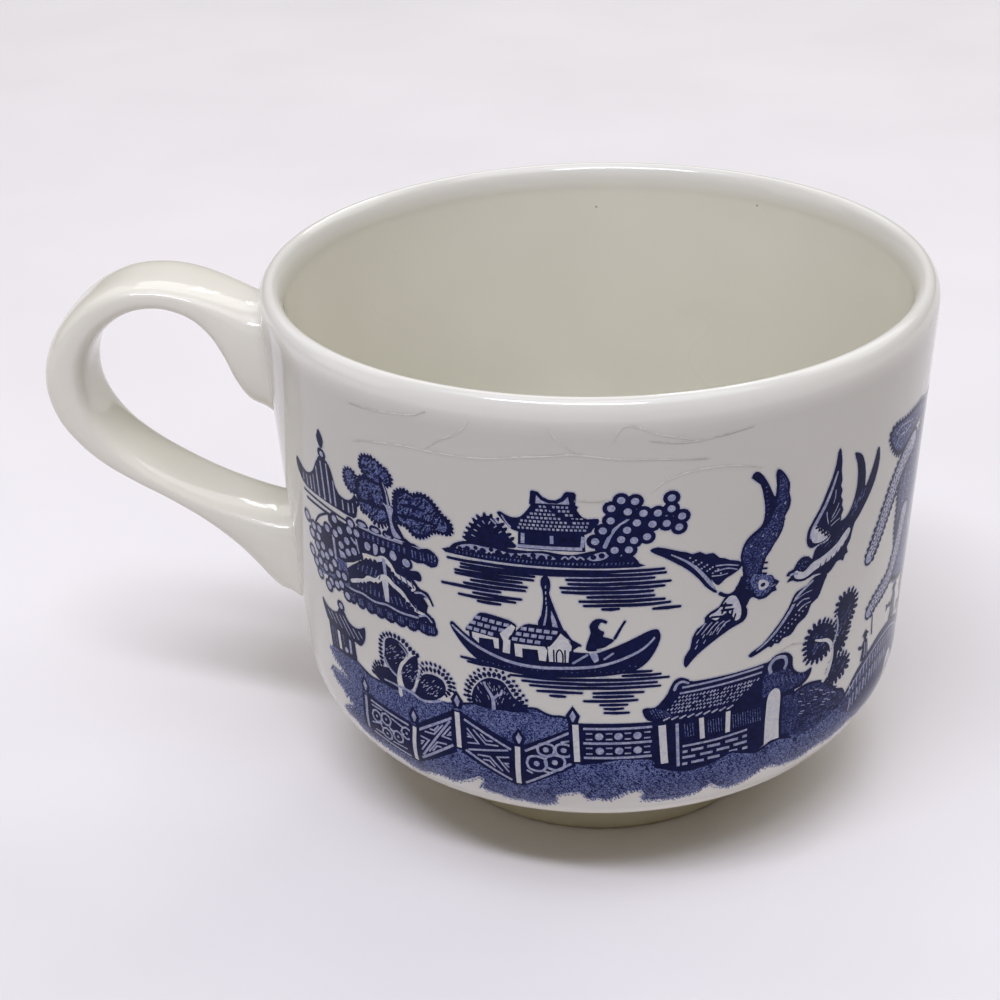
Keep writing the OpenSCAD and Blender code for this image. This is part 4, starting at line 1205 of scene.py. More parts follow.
    # boatman, in silhouette, with a pole
    P("D", _cr([(265.9, 42.5), (266.6, 43.0), (267.6, 43.05), (268.5, 42.7), (268.3, 42.35), (267.6, 42.55), (267.2, 42.2),
                (267.05, 41.8), (267.5, 41.45), (267.9, 41.3), (268.0, 40.95), (267.8, 40.6), (268.8, 40.35), (269.6, 40.1),
                (269.1, 39.6), (267.4, 38.8), (266.1, 38.5), (265.0, 38.7), (265.3, 39.9), (265.8, 41.1), (265.6, 41.9)],
               True, 2))
    L("D", [(269.7, 40.3), (270.5, 41.5), (271.3, 42.6)], .38, .3)
    L("W", [(266.9, 38.75), (269.2, 39.1), (270.2, 39.6)], .22, .16)


def art_bird_left():
    P("D", _cr([(291.2, 59.7), (291.9, 60.4), (292.8, 60.1), (293.8, 59.1), (294.7, 57.9), (295.3, 56.9), (295.7, 56.6), (295.75, 58.0),
                (295.5, 59.4), (295.7, 60.0), (296.4, 59.9), (297.5, 58.9), (298.3, 57.7), (298.3, 56.6), (298.7, 55.5),
                (298.5, 54.4), (297.8, 53.5), (297.7, 52.3), (297.1, 51.1), (296.2, 50.2), (295.6, 49.4), (294.8, 48.6),
                (294.4, 47.4), (294.2, 46.3), (295.2, 46.1), (296.2, 45.9), (296.7, 45.3), (297.7, 44.7), (297.0, 44.2),
                (297.3, 43.6), (296.4, 43.5), (295.4, 43.0), (294.0, 42.95), (292.9, 43.5), (292.2, 43.3), (291.6, 42.4),
                (290.6, 43.6), (289.6, 44.4), (289.5, 45.4), (290.4, 46.2), (290.8, 47.2), (290.4, 48.3), (290.1, 49.3),
                (290.3, 50.5), (291.0, 51.6), (292.2, 52.4), (293.4, 53.0), (293.9, 54.0), (293.9, 55.5), (293.5, 57.0),
                (292.8, 58.6)], True, 2))
    B("T", [(296.5, 59.4), (297.7, 58.1), (298.0, 56.6), (298.3, 55.2), (297.6, 53.7), (297.4, 52.4), (296.8, 51.2),
            (295.8, 50.2), (295.0, 49.3), (294.2, 48.4), (293.9, 47.3), (293.4, 46.5), (292.0, 46.5), (291.2, 47.2),
            (290.9, 48.2), (290.5, 49.4), (290.8, 50.6), (291.6, 51.6), (293.2, 52.3), (294.8, 53.2), (295.7, 54.6),
            (296.2, 56.2), (296.3, 58.0)])
    for k in range(76):
        x, z = rnd.uniform(291.0, 298.0), rnd.uniform(47.0, 58.0)
        if abs((z - 48.9) - (x - 290.9) * .8) < 2.4:
            a = rnd.uniform(-.5, .5) + .8
            L("D" if k % 3 else "H", [(x, z), (x + .42 * cos(a), z + .34 * sin(a))], .2, .12, cap=False)
    for k in range(7):
        L("S", [(296.3 + .06 * k, 59.0 - k * .62), (296.9 + .12 * k, 59.1 - k * .62)], .12, cap=False)
        L("S", [(293.8 + .1 * k, 58.0 - k * .6), (294.2 + .1 * k, 58.1 - k * .6)], .1, cap=False)
    for z in (48.0, 47.2, 46.5):
        L("D", [(294.2, z), (295.0, z - .15)], .3)
    B("S", [(292.6, 46.6), (294.2, 46.4), (295.9, 45.8), (296.5, 45.0), (296.1, 44.0), (294.9, 43.4), (293.4, 43.6),
            (292.8, 44.7), (292.2, 45.6)])
    B("L", [(293.8, 45.6), (294.6, 45.6), (295.4, 45.2), (295.7, 44.8), (295.3, 44.35), (294.5, 44.2), (293.9, 44.4),
            (293.7, 45.0)])
    for x, z in ((293.3, 44.6), (293.6, 43.7), (294.4, 43.5), (295.2, 43.6), (293.4, 45.6), (292.9, 46.0)):
        L("D", [(x, z), (x + .3, z + .35)], .16, .1, cap=False)
    disc("D", 294.55, 44.9, .3, sx=1.15)
    L("W", [(296.3, 44.3), (297.0, 44.5)], .1, cap=False)
    for k in range(12):
        x, z = rnd.uniform(290.4, 293.2), rnd.uniform(44.0, 47.8)
        L("S", [(x, z), (x + .35, z + .3)], .12, .08, cap=False)
    # raised wing
    P("D", _cr([(275.2, 52.1), (276.4, 52.4), (278.5, 51.95), (280.0, 51.55), (281.0, 51.35), (282.0, 51.0), (283.2, 51.15),
                (284.2, 50.7), (285.4, 50.75), (286.4, 50.0), (287.4, 49.75), (288.4, 49.35), (289.9, 49.0), (290.6, 48.4),
                (289.8, 47.7), (288.8, 47.3), (287.7, 46.9), (286.6, 46.2), (285.8, 46.6), (285.2, 47.2),
                (286.3, 45.5), (286.1, 45.2), (285.3, 45.6), (284.2, 46.4), (283.0, 47.6), (281.3, 48.9), (279.5, 49.9),
                (277.5, 50.9), (275.8, 51.6)], True, 2))
    C("W", [(278.6, 51.2), (281.0, 50.1), (282.8, 48.9), (284.2, 47.6), (285.4, 46.4), (286.4, 45.7)], .14, .42, .42)
    for a in range(6):
        for b in range(3):
            x = 281.6 + a * .95 + b * .5
            z = 50.5 - a * .42 - b * .62
            if x < 287.4 and z > 47.6:
                disc("W", x, z, .13, n=6)
    C("W", [(286.0, 48.9), (287.8, 48.8), (289.8, 48.4)], .2, .14)
    C("W", [(286.2, 48.2), (288.0, 48.3), (289.6, 47.9)], .2, .14)
    L("W", [(285.4, 47.6), (286.8, 47.5), (288.0, 47.6)], .16, .1)
    C("D", [(286.9, 45.0), (287.8, 44.6), (289.0, 44.6), (290.0, 45.4), (290.6, 46.6)], .5, .4)
    C("D", [(290.4, 45.6), (291.0, 46.8), (290.8, 47.8)], .5, .4)
    # lowered wing
    P("D", _cr([(281.1, 36.0), (281.5, 35.35), (282.2, 35.9), (283.5, 37.0), (285.2, 38.0), (287.2, 39.0), (289.4, 39.9),
                (291.1, 40.35), (291.9, 41.0), (291.9, 42.0), (291.5, 42.7), (291.6, 43.4), (290.6, 44.0), (289.0, 44.9),
                (287.6, 44.2), (286.8, 43.2), (285.4, 42.7), (284.4, 42.0), (284.4, 41.2), (283.2, 40.6), (282.4, 39.4),
                (282.1, 38.0), (281.3, 37.0)], True, 2))
    B("W", [(285.2, 42.1), (286.4, 42.6), (287.4, 43.4), (288.4, 44.3), (289.5, 44.3), (290.3, 43.4), (290.8, 42.2),
            (290.7, 41.1), (289.9, 40.8), (289.3, 41.5), (288.4, 42.2), (287.2, 41.8), (286.4, 41.4)])
    for p, q, w in (((287.2, 43.3), (289.0, 43.1), .42), ((287.4, 42.6), (289.3, 42.5), .4), ((287.9, 43.5), (287.4, 42.2), .34),
                    ((285.6, 41.9), (287.4, 41.8), .34), ((288.4, 42.4), (288.0, 40.8), .34), ((289.2, 42.2), (288.9, 40.8), .3),
                    ((289.8, 41.7), (289.5, 40.7), .26)):
        L("D", [p, q], w, w * .8)
    for a in range(5):
        C("W", [(283.1 + a * .9, 39.8 - a * .1), (283.9 + a * 1.0, 40.5 + a * .04), (284.6 + a * 1.05, 41.2 - a * .05)], .12, .18)
    for x, z in ((283.2, 38.6), (284.2, 39.2), (285.4, 39.4), (286.6, 39.8), (283.0, 37.8), (284.4, 38.4), (287.8, 40.3)):
        L("W", [(x, z), (x + .35, z + .5)], .12, cap=False)


def art_bird_right():
    # tail and back
    P("D", _cr([(311.9, 58.5), (312.9, 58.35), (314.1, 57.7), (315.0, 56.4), (315.5, 55.0), (315.7, 53.7), (315.95, 53.1),
                (316.7, 54.1), (317.4, 55.3), (318.0, 56.7), (318.3, 57.5), (318.9, 57.4), (319.3, 56.3), (319.3, 54.9),
                (318.7, 53.2), (317.5, 51.6), (316.0, 50.2), (314.8, 49.2), (313.9, 48.6), (313.5, 47.6), (313.2, 46.6),
                (312.5, 45.7), (312.9, 44.9), (312.2, 44.7), (311.9, 44.0), (311.2, 44.3), (310.2, 44.3), (309.2, 43.6),
                (308.0, 43.2), (306.4, 43.7), (304.8, 43.9), (303.0, 43.6), (301.4, 43.8), (300.4, 44.2), (299.2, 44.2),
                (299.6, 44.6), (299.9, 44.9), (299.0, 45.1), (299.4, 45.6), (300.4, 45.8), (301.0, 46.6), (302.2, 47.05),
                (303.5, 46.8), (304.2, 46.3), (304.6, 47.4), (305.6, 47.9), (307.4, 48.0), (308.6, 49.2), (309.8, 49.9),
                (311.2, 50.1), (312.3, 50.9), (313.0, 52.2), (313.4, 53.7), (313.3, 55.4), (312.8, 57.0)], True, 2))
    B("W", [(300.6, 45.2), (301.3, 45.4), (302.6, 44.9), (304.4, 45.7), (306.4, 46.0), (308.4, 46.5), (310.0, 47.1),
            (311.2, 47.9), (312.4, 48.4), (312.9, 47.9), (312.0, 46.8), (310.6, 45.9), (308.8, 45.2), (306.8, 44.8),
            (305.0, 44.5), (303.2, 44.0), (301.8, 44.1), (300.8, 44.5)])
    for x, z in ((306.0, 44.6), (307.2, 44.9), (308.4, 45.0), (309.6, 45.4), (310.6, 45.8), (311.5, 46.3)):
        L("D", [(x, z - .3), (x + .35, z + .5)], .34, .14)
    for x, z in ((305.4, 46.4), (306.4, 46.6), (307.6, 46.9), (308.8, 47.3), (309.8, 47.8)):
        L("D", [(x, z + .3), (x + .2, z - .3)], .3, .14)
    disc("D", 302.3, 46.05, 1.02, n=16)
    for k in range(16):
        a = rnd.uniform(0, 2 * pi)
        t = rnd.uniform(.1, .75)
        disc("S", 302.3 + t * cos(a) / KU, 46.05 + t * sin(a), .1, n=5)
    C("W", [(299.9, 45.1), (300.7, 45.1), (301.3, 44.9)], .3)
    for k in range(46):
        t = k / 45
        x, z = 312.6 + 3.6 * t + rnd.uniform(-.3, .3), 50.6 + 3.0 * t + rnd.uniform(-1.2, .6)
        if 49.6 < z < 52.6 and x < 316.6 and z > 50.0 + (x - 314.6) * .9:
            L("S", [(x, z), (x + .3, z + .42)], .11, .08, cap=False)
    for k in range(14):
        x, z = rnd.uniform(305.2, 312.6), rnd.uniform(47.0, 49.0)
        L("S", [(x, z), (x + .35, z + .3)], .12, .08, cap=False)
    # raised wing
    P("D", _cr([(307.8, 59.7), (308.2, 60.1), (308.6, 59.6), (309.0, 58.2), (309.1, 56.9), (309.5, 55.6), (309.3, 54.9),
                (309.8, 54.2), (309.6, 53.4), (310.1, 52.8), (310.0, 52.1), (310.5, 51.4), (310.1, 50.7), (310.1, 49.8),
                (308.4, 48.8), (307.0, 48.1), (305.4, 48.0), (304.0, 47.8), (303.0, 48.3), (302.6, 49.2), (302.7, 50.4),
                (303.6, 51.6), (304.9, 53.0), (306.0, 54.8), (307.0, 56.5), (307.6, 58.2)], True, 2))
    C("W", [(308.2, 57.0), (307.4, 55.2), (306.2, 53.2), (304.9, 51.7), (303.8, 50.4), (303.6, 49.4)], .24, .5, .5)
    B("W", [(303.5, 50.2), (304.4, 50.7), (305.4, 50.2), (306.6, 49.6), (307.6, 49.0), (307.4, 48.5), (306.0, 48.2),
            (304.4, 48.4), (303.7, 49.0)])
    for x, z in ((304.6, 50.6), (305.3, 50.1), (306.0, 49.6), (306.8, 49.1)):
        L("D", [(x - .1, z - .2), (x + .9, z - .1)], .36, .3)
        L("D", [(x + .3, z + .1), (x + .7, z - .75)], .3, .16)
    for p in ([(306.6, 52.0), (306.8, 51.2), (307.2, 50.3)], [(307.9, 51.0), (308.6, 51.7), (309.2, 52.6)],
              [(307.7, 50.5), (308.8, 51.0), (309.6, 51.7)], [(307.9, 49.9), (308.8, 50.2), (309.8, 50.4)],
              [(308.2, 54.6), (308.2, 53.6), (307.9, 52.9)]):
        C("W", p, .16, .12)
    # lowered wing
    P("D", _cr([(305.2, 43.6), (303.6, 42.8), (301.6, 42.45), (300.7, 41.7), (300.0, 40.5), (298.6, 39.0), (297.0, 37.7),
                (295.2, 36.4), (293.4, 35.75), (292.7, 35.3), (293.3, 34.95), (294.8, 35.3), (296.5, 35.8), (297.1, 35.55),
                (297.7, 36.0), (298.6, 35.8), (299.4, 36.35), (300.6, 36.4), (301.5, 36.8), (302.3, 37.6), (303.8, 38.2),
                (304.5, 38.8), (305.0, 39.8), (306.4, 40.3), (307.1, 41.3), (307.7, 42.4), (308.1, 43.4)], True, 2))
    C("W", [(304.8, 43.1), (303.0, 42.35), (301.6, 41.6), (300.8, 40.4), (299.4, 39.0), (297.6, 37.5), (295.6, 36.3),
            (294.2, 35.7)], .3, .14, .42)
    for a in range(9):
        for b in range(2):
            x, z = 297.4 + a * .72 + b * .75, 36.55 + a * .43 - b * .28
            disc("W", x, z, .12, n=6)
    C("W", [(301.8, 40.4), (303.0, 40.9), (304.4, 40.8)], .22, .14)
    C("W", [(302.2, 39.6), (303.4, 40.1), (304.8, 40.2)], .18, .12)
    C("W", [(301.6, 41.3), (303.2, 41.7), (304.8, 41.8)], .12, .1)
    C("D", [(301.0, 40.9), (302.6, 41.3), (304.4, 41.5)], .34)


def frond(pts, w0, w1):
    """A hanging willow branch: a dark scalloped band with two rows of small light leaves."""
    p = _cr(_m(pts), False, 6)
    n = len(p)
    ws = [w0 * (1 - i / (n - 1)) + w1 * i / (n - 1) for i in range(n)]
    _stroke("D", p, ws)
    _stroke("H", p, [w * .72 for w in ws])
    sides = ([], [])
    for i in range(n):
        a, b = p[max(i - 1, 0)], p[min(i + 1, n - 1)]
        k = math.hypot(b[0] - a[0], b[1] - a[1]) or 1e-9
        nx, nz = -(b[1] - a[1]) / k, (b[0] - a[0]) / k
        for side, f in zip(sides, (.5, -.5)):
            side.append(((p[i][0] + nx * ws[i] * f) / KU, p[i][1] + nz * ws[i] * f))
    for side in sides:
        for x, z, nx, nz in walk(side, .84, False, n=1):
            disc("D", x / KU, z, .34 * rnd.uniform(.85, 1.15), n=7)
    mid = walk([(q[0] / KU, q[1]) for q in p], .62, False, n=1)
    for k, (x, z, nx, nz) in enumerate(mid[1:-1]):
        w = ws[min(n - 1, int((k + 1) / len(mid) * n))]
        f = w * (.2 if k % 2 else -.2)
        px, pz = x + nx * f, z + nz * f
        d = math.degrees(math.atan2(nz, nx)) + 90
        disc("D", px / KU, pz, .36, n=8, sx=1.5, rot=d)
        disc("L", px / KU, pz, .19, n=8, sx=1.8, rot=d)


def art_willow():
    # trunk, out of sight round the side, with its limbs
    P("D", _cr([(347.4, 21.0), (348.6, 27.0), (348.0, 34.0), (349.0, 41.0), (348.6, 47.0), (347.6, 53.0), (348.2, 57.6),
                (350.2, 57.8), (350.6, 52.0), (351.6, 46.0), (351.2, 40.0), (352.0, 34.0), (351.6, 27.0), (353.2, 21.4)],
               True, 3))
    for x0, x1, z0, z1 in ((349.4, 350.0, 24, 29), (350.4, 349.8, 30, 35), (349.6, 350.2, 36, 42), (350.2, 349.8, 43, 48)):
        C("W", [(x0, z0), ((x0 + x1) / 2 + .35, (z0 + z1) / 2), (x1, z1)], .2, .14, .34)
    # the mass of hanging leaves
    m = [(331.8, 53.2), (336.5, 54.2), (342.0, 55.6), (348.6, 54.8), (352.4, 51.0), (351.6, 46.0), (349.4, 42.4), (347.8, 39.0),
         (343.6, 35.4), (338.5, 33.4), (333.0, 34.2), (330.0, 36.0), (330.6, 38.6), (329.2, 42.8), (328.8, 46.4), (328.3, 50.0)]
    B("D", m)
    B("S", [(340 + (x - 340) * .94, 44.5 + (z - 44.5) * .95) for x, z in m])
    for x, z, nx, nz in walk(m, .84):
        disc("D", x / KU, z, .36, n=7)
    for k in range(8):
        x = 330.4 + k * 2.5
        top = [(x + .8, 53.4), (x - .2, 49.0), (x + .5, 45.0), (x - .4, 41.0), (x + .2, 37.4)]
        if k in (0, 7):
            top = top[:4]
        C("D", top, .3, .22)
        for j in range(13):
            z = 52.2 - j * 1.22 - (k % 2) * .5
            if z > 37.2 + abs(x - 338) * .35:
                disc("D", x + 1.2, z, .36, n=8)
                disc("H", x + 1.2, z, .2, n=7)
    # a rounded bough at the upper left
    bud = [(322.2, 57.4), (322.5, 58.5), (324.0, 59.0), (327.8, 58.8), (331.8, 58.8), (336.2, 58.6), (341.0, 57.4), (346.0, 57.0),
           (347.6, 55.4), (342.0, 55.6), (336.0, 55.8), (331.0, 55.0), (328.5, 54.2), (326.6, 54.0), (324.2, 55.2)]
    B("D", bud)
    B("S", [(332 + (x - 332) * .93, 56.8 + (z - 56.8) * .8) for x, z in bud])
    for x, z, nx, nz in walk(bud, .8):
        disc("D", x / KU, z, .32, n=7)
    C("W", [(324.4, 57.4), (326.0, 58.0), (328.6, 57.8), (331.6, 57.4)], .16, .2)
    C("W", [(325.0, 55.9), (326.4, 56.8), (328.8, 56.6), (330.8, 56.9)], .16, .2)
    for k in range(9):
        disc("D", 328.5 + k * 1.9, 57.0 + .5 * math.sin(k * 1.9), .4, n=8)
        disc("H", 328.5 + k * 1.9, 57.0 + .5 * math.sin(k * 1.9), .22, n=7)
    frond([(333.6, 53.8), (330.2, 52.8), (327.2, 50.8), (324.9, 48.2), (322.9, 45.6), (321.3, 43.6), (319.9, 42.0)], 3.7, 2.3)
    frond([(333.8, 44.0), (332.4, 39.8), (330.0, 36.4), (326.6, 35.0), (324.0, 34.2), (322.4, 33.3)], 3.5, 2.2)
    frond([(340.6, 40.0), (341.6, 36.4), (341.8, 33.0), (340.8, 30.8)], 2.0, 1.2)
    frond([(347.0, 42.0), (346.0, 37.4), (345.2, 33.6), (344.6, 31.6)], 2.0, 1.2)


def _walker(x, z, s, lean=0.0, thing=None):
    """A small robed figure in silhouette, facing left, s high."""
    k = s / 6.0

    def q(pts):
        return [(x + (a + lean * b) * k / KU, z + b * k) for a, b in pts]

    P("D", _cr(q([(-1.3, 0), (-1.0, 1.6), (-.9, 3.0), (-.75, 3.9), (0, 4.35), (.75, 3.9), (1.05, 2.6), (1.25, 1.2),
                  (1.6, 0), (.3, -.1)]), True, 3))
    P("D", _cr(q([(-.62, 4.6), (-.55, 5.4), (0, 5.85), (.6, 5.4), (.62, 4.7), (0, 4.1)]), True, 3))
    P("D", q([(-1.15, 5.25), (0, 6.3), (1.2, 5.2), (.6, 5.05), (-.6, 5.05)]))
    C("D", q([(-.4, 3.5), (-1.3, 2.9), (-2.0, 3.3)]), .5 * k + .12)
    C("W", q([(-.2, 3.6), (.1, 2.2), (-.1, .5)]), .14, .22)
    C("W", q([(.5, 3.3), (.7, 1.8), (.8, .4)]), .1, .18)
    if thing == "staff":
        L("D", q([(-2.1, -.1), (-1.9, 5.2)]), .26)
    elif thing == "fan":
        P("D", q([(-1.9, 3.2), (-3.3, 3.9), (-3.2, 2.6)]))
    elif thing == "box":
        P("D", q([(-3.4, 2.7), (-3.4, 4.0), (-1.8, 4.0), (-1.8, 2.7)]))
        P("W", q([(-3.1, 3.0), (-3.1, 3.7), (-2.1, 3.7), (-2.1, 3.0)]))


def art_bridge():
    # a humped bridge with walkers on it
    top = [(315.8, 22.4), (317.8, 23.4), (320.8, 25.4), (325.0, 27.0), (329.0, 27.9), (334.0, 27.9), (338.5, 26.9),
           (342.0, 25.4), (345.4, 23.6), (348.6, 22.2), (350.4, 21.6)]
    P("T", _cr(_m2(top), False, 3) + [(351.2, 18.8), (346, 16.6), (338.8, 15.0), (331, 17.0), (321, 18.8), (316.0, 20.6)])
    C("D", top, .36)
    for cx, r, zb, h in ((336.6, 1.7, 18.6, 3.9), (344.2, 1.6, 18.8, 3.2)):
        pts = [(cx - r / KU, zb)] + [(cx - r * cos(radians(t)) / KU, zb + h * .45 + h * .55 * sin(radians(t)))
                                    for t in range(0, 181, 20)] + [(cx + r / KU, zb)]
        P("V", pts)
        for k in range(4):
            rows([(cx - r * .7 / KU, cx + r * .7 / KU, zb + .4 + k * .5)], .22)
    C("W", [(317.6, 22.6), (320.6, 24.3), (324.6, 25.9), (329.0, 26.8), (334.0, 26.8), (338.3, 25.8), (342.0, 24.3),
            (346.0, 22.4), (349.4, 21.0)], .26)
    for k in range(27):
        x = 318.4 + k * 1.16
        zz = 26.3 - (x - 331.6) ** 2 * .0145
        L("H", [(x, zz), (x + .1, zz - 1.5)], .24, .14, cap=False)
        if abs(x - 336.6) > 3.0 and abs(x - 344.2) > 2.8:
            L("H", [(x + .5, zz - 2.1), (x + .5, zz - 4.0)], .26, .14, cap=False)
            if k % 2:
                L("W", [(x - .2, zz - 2.6), (x - .25, zz - 3.6)], .16, .1, cap=False)
    L("D", [(324.6, 29.4), (323.9, 32.4)], .34, .26)
    _walker(322.6, 26.3, 4.4, -.1)
    _walker(334.9, 28.0, 5.4, -.06, "fan")
    _walker(342.6, 25.4, 5.0, -.06, "box")


def draw():
    rnd.seed(41)
    art_hills()
    art_rock()
    art_big_tree()
    art_pagoda()
    art_small_house()
    art_front_trees()
    art_fence()
    art_gate_tree()
    art_gate()
    art_island()
    art_boat()
    art_bird_left()
    art_bird_right()
    art_bridge()
    art_willow()
    return ART

# ---------------------------------------------------------------- the print as thin films on the wall
LIFT, SINK = 0.028, -0.03


def on_wall(x, z, off):
    a = radians(x / KU + 4.0)
    nr, nz = wall_normal(z)
    r = wall_r(z) + off * nr
    return (r * cos(a) * MM, r * sin(a) * MM, (z + off * nz) * MM)


def wall_dir(x, z):
    a = radians(x / KU + 4.0)
    nr, nz = wall_normal(z)
    return (nr * cos(a), nr * sin(a), nz)


def grown(p, d):
    """The polygon pushed outward by d."""
    q, n = [], len(p)
    for i in range(n):
        a, b, c = p[i - 1], p[i], p[(i + 1) % n]
        e1, e2 = (b[0] - a[0], b[1] - a[1]), (c[0] - b[0], c[1] - b[1])
        l1, l2 = math.hypot(*e1) or 1e-9, math.hypot(*e2) or 1e-9
        nx, nz = e1[1] / l1 + e2[1] / l2, -e1[0] / l1 - e2[0] / l2
        k = math.hypot(nx, nz)
        if k < 0.3:
            continue
        q.append((b[0] + nx / k * d, b[1] + nz / k * d))
    return q


def plan_print(art, sector, flow=0.0):
    """Triangulate a picture once; gives points and, per sector and ink, triangles."""
    if flow:
        # cobalt runs a hair's breadth into the glaze round every dark shape
        art = [("F", g) for g in (grown(p, flow) for i, p in art if i in "DST") if len(g) > 2 and _area(g) > 0] + art
    xs = [q[0] for _, p in art for q in p]
    zs = [q[1] for _, p in art for q in p]
    lo, hi = min(xs), max(xs)
    zl, zh = min(zs) - 0.2, max(zs) + 0.2
    pts, faces, edges = [], [], []
    for _, p in art:
        i = len(pts)
        pts += [Vector(q) for q in p]
        faces.append(list(range(i, i + len(p))))
    k0, k1 = int(math.floor(lo / 1.4)), int(math.ceil(hi / 1.4))
    for k in range(k0, k1 + 1):
        i = len(pts)
        pts += [Vector((k * 1.4, zl)), Vector((k * 1.4, zh))]
        edges.append((i, i + 1))
    z = zl
    while z < zh:
        i = len(pts)
        pts += [Vector((k0 * 1.4, z)), Vector((k1 * 1.4, z))]
        edges.append((i, i + 1))
        z += 1.3 if z < WAIST_Z else 5.0
    v, _, f, _, _, of = delaunay_2d_cdt(pts, edges, faces, 1, 1e-5, True)
    per = int(round(sector / 1.4))
    groups = {}
    for tri, src in zip(f, of):
        if not src:
            continue
        top = max(src)
        ink, q = art[top]
        if ink in "WV":
            # bare glaze, unless the opening lies in ink: then a little blue has run into it
            if all(art[i][0] in "WVF" for i in src):
                continue
            round_it = sum(math.hypot(b[0] - a[0], b[1] - a[1]) for a, b in zip(q, q[1:] + q[:1]))
            ink = "M" if ink == "V" else "H" if 2 * abs(_area(q)) / round_it < 0.6 else "L"
        cx = sum(v[i][0] for i in tri) / 3
        s = (int(math.floor(cx / 1.4)) - k0) // per
        groups.setdefault((ink, s), []).append(tuple(tri))
    return [(q[0], q[1]) for q in v], groups, (k0 * 1.4, per * 1.4, zl, zh)


def film(name, pts, tris, shift, mat, box):
    """A closed shell a few hundredths of a millimetre thick that follows the wall."""
    used = sorted({i for t in tris for i in t})
    at = {i: k for k, i in enumerate(used)}
    n = len(used)
    verts = [on_wall(pts[i][0] + shift, pts[i][1], LIFT) for i in used]
    verts += [on_wall(pts[i][0] + shift, pts[i][1], SINK) for i in used]
    faces = []
    side = {}
    for t in tris:
        a, b, c = (at[i] for i in t)
        faces.append((a, b, c))
        faces.append((c + n, b + n, a + n))
        for e in ((a, b), (b, c), (c, a)):
            if (e[1], e[0]) in side:
                del side[(e[1], e[0])]
            else:
                side[e] = True
    for a, b in side:
        faces.append((a, a + n, b + n, b))
    me = bpy.data.meshes.new(name)
    me.from_pydata(verts, [], faces)
    me.polygons.foreach_set("use_smooth", [True] * len(me.polygons))
    uv = me.uv_layers.new(name="OFBake")
    x0, w, zl, zh = box
    co = [((pts[i][0] - x0) / w, (pts[i][1] - zl) / (zh - zl)) for i in used] * 2
    flat = [c for lp in me.loops for c in co[lp.vertex_index]]
    uv.data.foreach_set("uv", flat)
    nrm = [wall_dir(pts[i][0] + shift, pts[i][1]) for i in used]
    me.normals_split_custom_set_from_vertices(nrm + [tuple(-c for c in q) for q in nrm])
    me.materials.append(mat)
    ob = bpy.data.objects.new(name, me)
    bpy.context.scene.collection.objects.link(ob)
    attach(ob, "root")
    return ob
# ---------------------------------------------------------------- materials for this cup


def glaze_material(name, painted_light_tones=None, craze=1.0, specks=1.0):
    """Clear glaze over cream earthenware: slow colour drift, faint crazing, a few kiln specks.

    the tone stops run along the "inside" value, from the outside wall over the lip to the inside; they paint light and
    shade into the glaze colour."""
    n = Nodes(name)
    drift = n.noise(26.0, 2.0, 0.5)
    if painted_light_tones:
        # painted light and shade: the glaze colour follows the profile value, not a change in the glaze itself
        at = n.new("ShaderNodeAttribute", attribute_name="inside")
        col = n.ramp(at.outputs["Fac"], painted_light_tones)
        col = n.mix(1.0, col, n.ramp(drift, [(0.33, (0.955, 0.955, 0.945)), (0.66, (1.0, 1.0, 1.0))]), "MULTIPLY")
    else:
        col = n.ramp(drift, [(0.35, srgb(220, 216, 204)), (0.66, srgb(226, 222, 212))])
    # crazing: long thin curved cracks that only show in places
    warp = n.new("ShaderNodeTexNoise")
    warp.inputs["Scale"].default_value = 1.0
    warp.inputs["Detail"].default_value = 0.0
    n.link(n.pos(9.0), warp.inputs["Vector"])
    v = n.new("ShaderNodeVectorMath", operation="MULTIPLY_ADD")
    n.link(warp.outputs["Color"], v.inputs[0])
    v.inputs[1].default_value = (0.42, 0.42, 0.42)
    n.link(n.pos(12.5), v.inputs[2])
    vo = n.new("ShaderNodeTexVoronoi", feature="DISTANCE_TO_EDGE")
    vo.inputs["Scale"].default_value = 1.0
    n.link(v.outputs[0], vo.inputs["Vector"])
    line = n.grey(vo.outputs["Distance"], [(0.0, 1.0), (0.0095, 0.0)])
    edge = n.grey(vo.outputs["Distance"], [(0.005, 0.0), (0.011, 1.0), (0.018, 0.0)])
    where = n.grey(n.noise(14.0, 2.0), [(0.47, 0.0), (0.58, 1.0)])
    col = n.mix(n.math("MULTIPLY", n.math("MULTIPLY", line, where), 0.09 * craze), col, srgb(158, 151, 140))
    col = n.mix(n.math("MULTIPLY", n.math("MULTIPLY", edge, where), 0.07 * craze), col, srgb(236, 234, 228))
    # specks
    vs = n.new("ShaderNodeTexVoronoi", feature="F1")
    vs.inputs["Scale"].default_value = 1.0
    n.link(n.pos(7.5), vs.inputs["Vector"])
    dot = n.grey(vs.outputs["Distance"], [(0.018, 1.0), (0.032, 0.0)])
    sep = n.new("ShaderNodeSeparateColor")
    n.link(vs.outputs["Color"], sep.inputs[0])
    some = n.grey(sep.outputs[0], [(0.66, 0.0), (0.68, 1.0)])
    col = n.mix(n.math("MULTIPLY", n.math("MULTIPLY", dot, some), 0.6 * specks), col, srgb(96, 78, 62))
    wave = n.noise(9.0, 2.0, 0.5)
    fine = n.noise(0.9, 2.0, 0.5)
    b1 = n.bump(wave, 0.32, 0.12)
    b2 = n.bump(fine, 0.12, 0.01, b1)
    n.put(n.bsdf, Base_Color=col, Roughness=n.grey(n.noise(6.0, 3.0), [(0.3, 0.055), (0.7, 0.11)]), Normal=b2)
    n.bsdf.inputs["IOR"].default_value = 1.52
    return n.mat


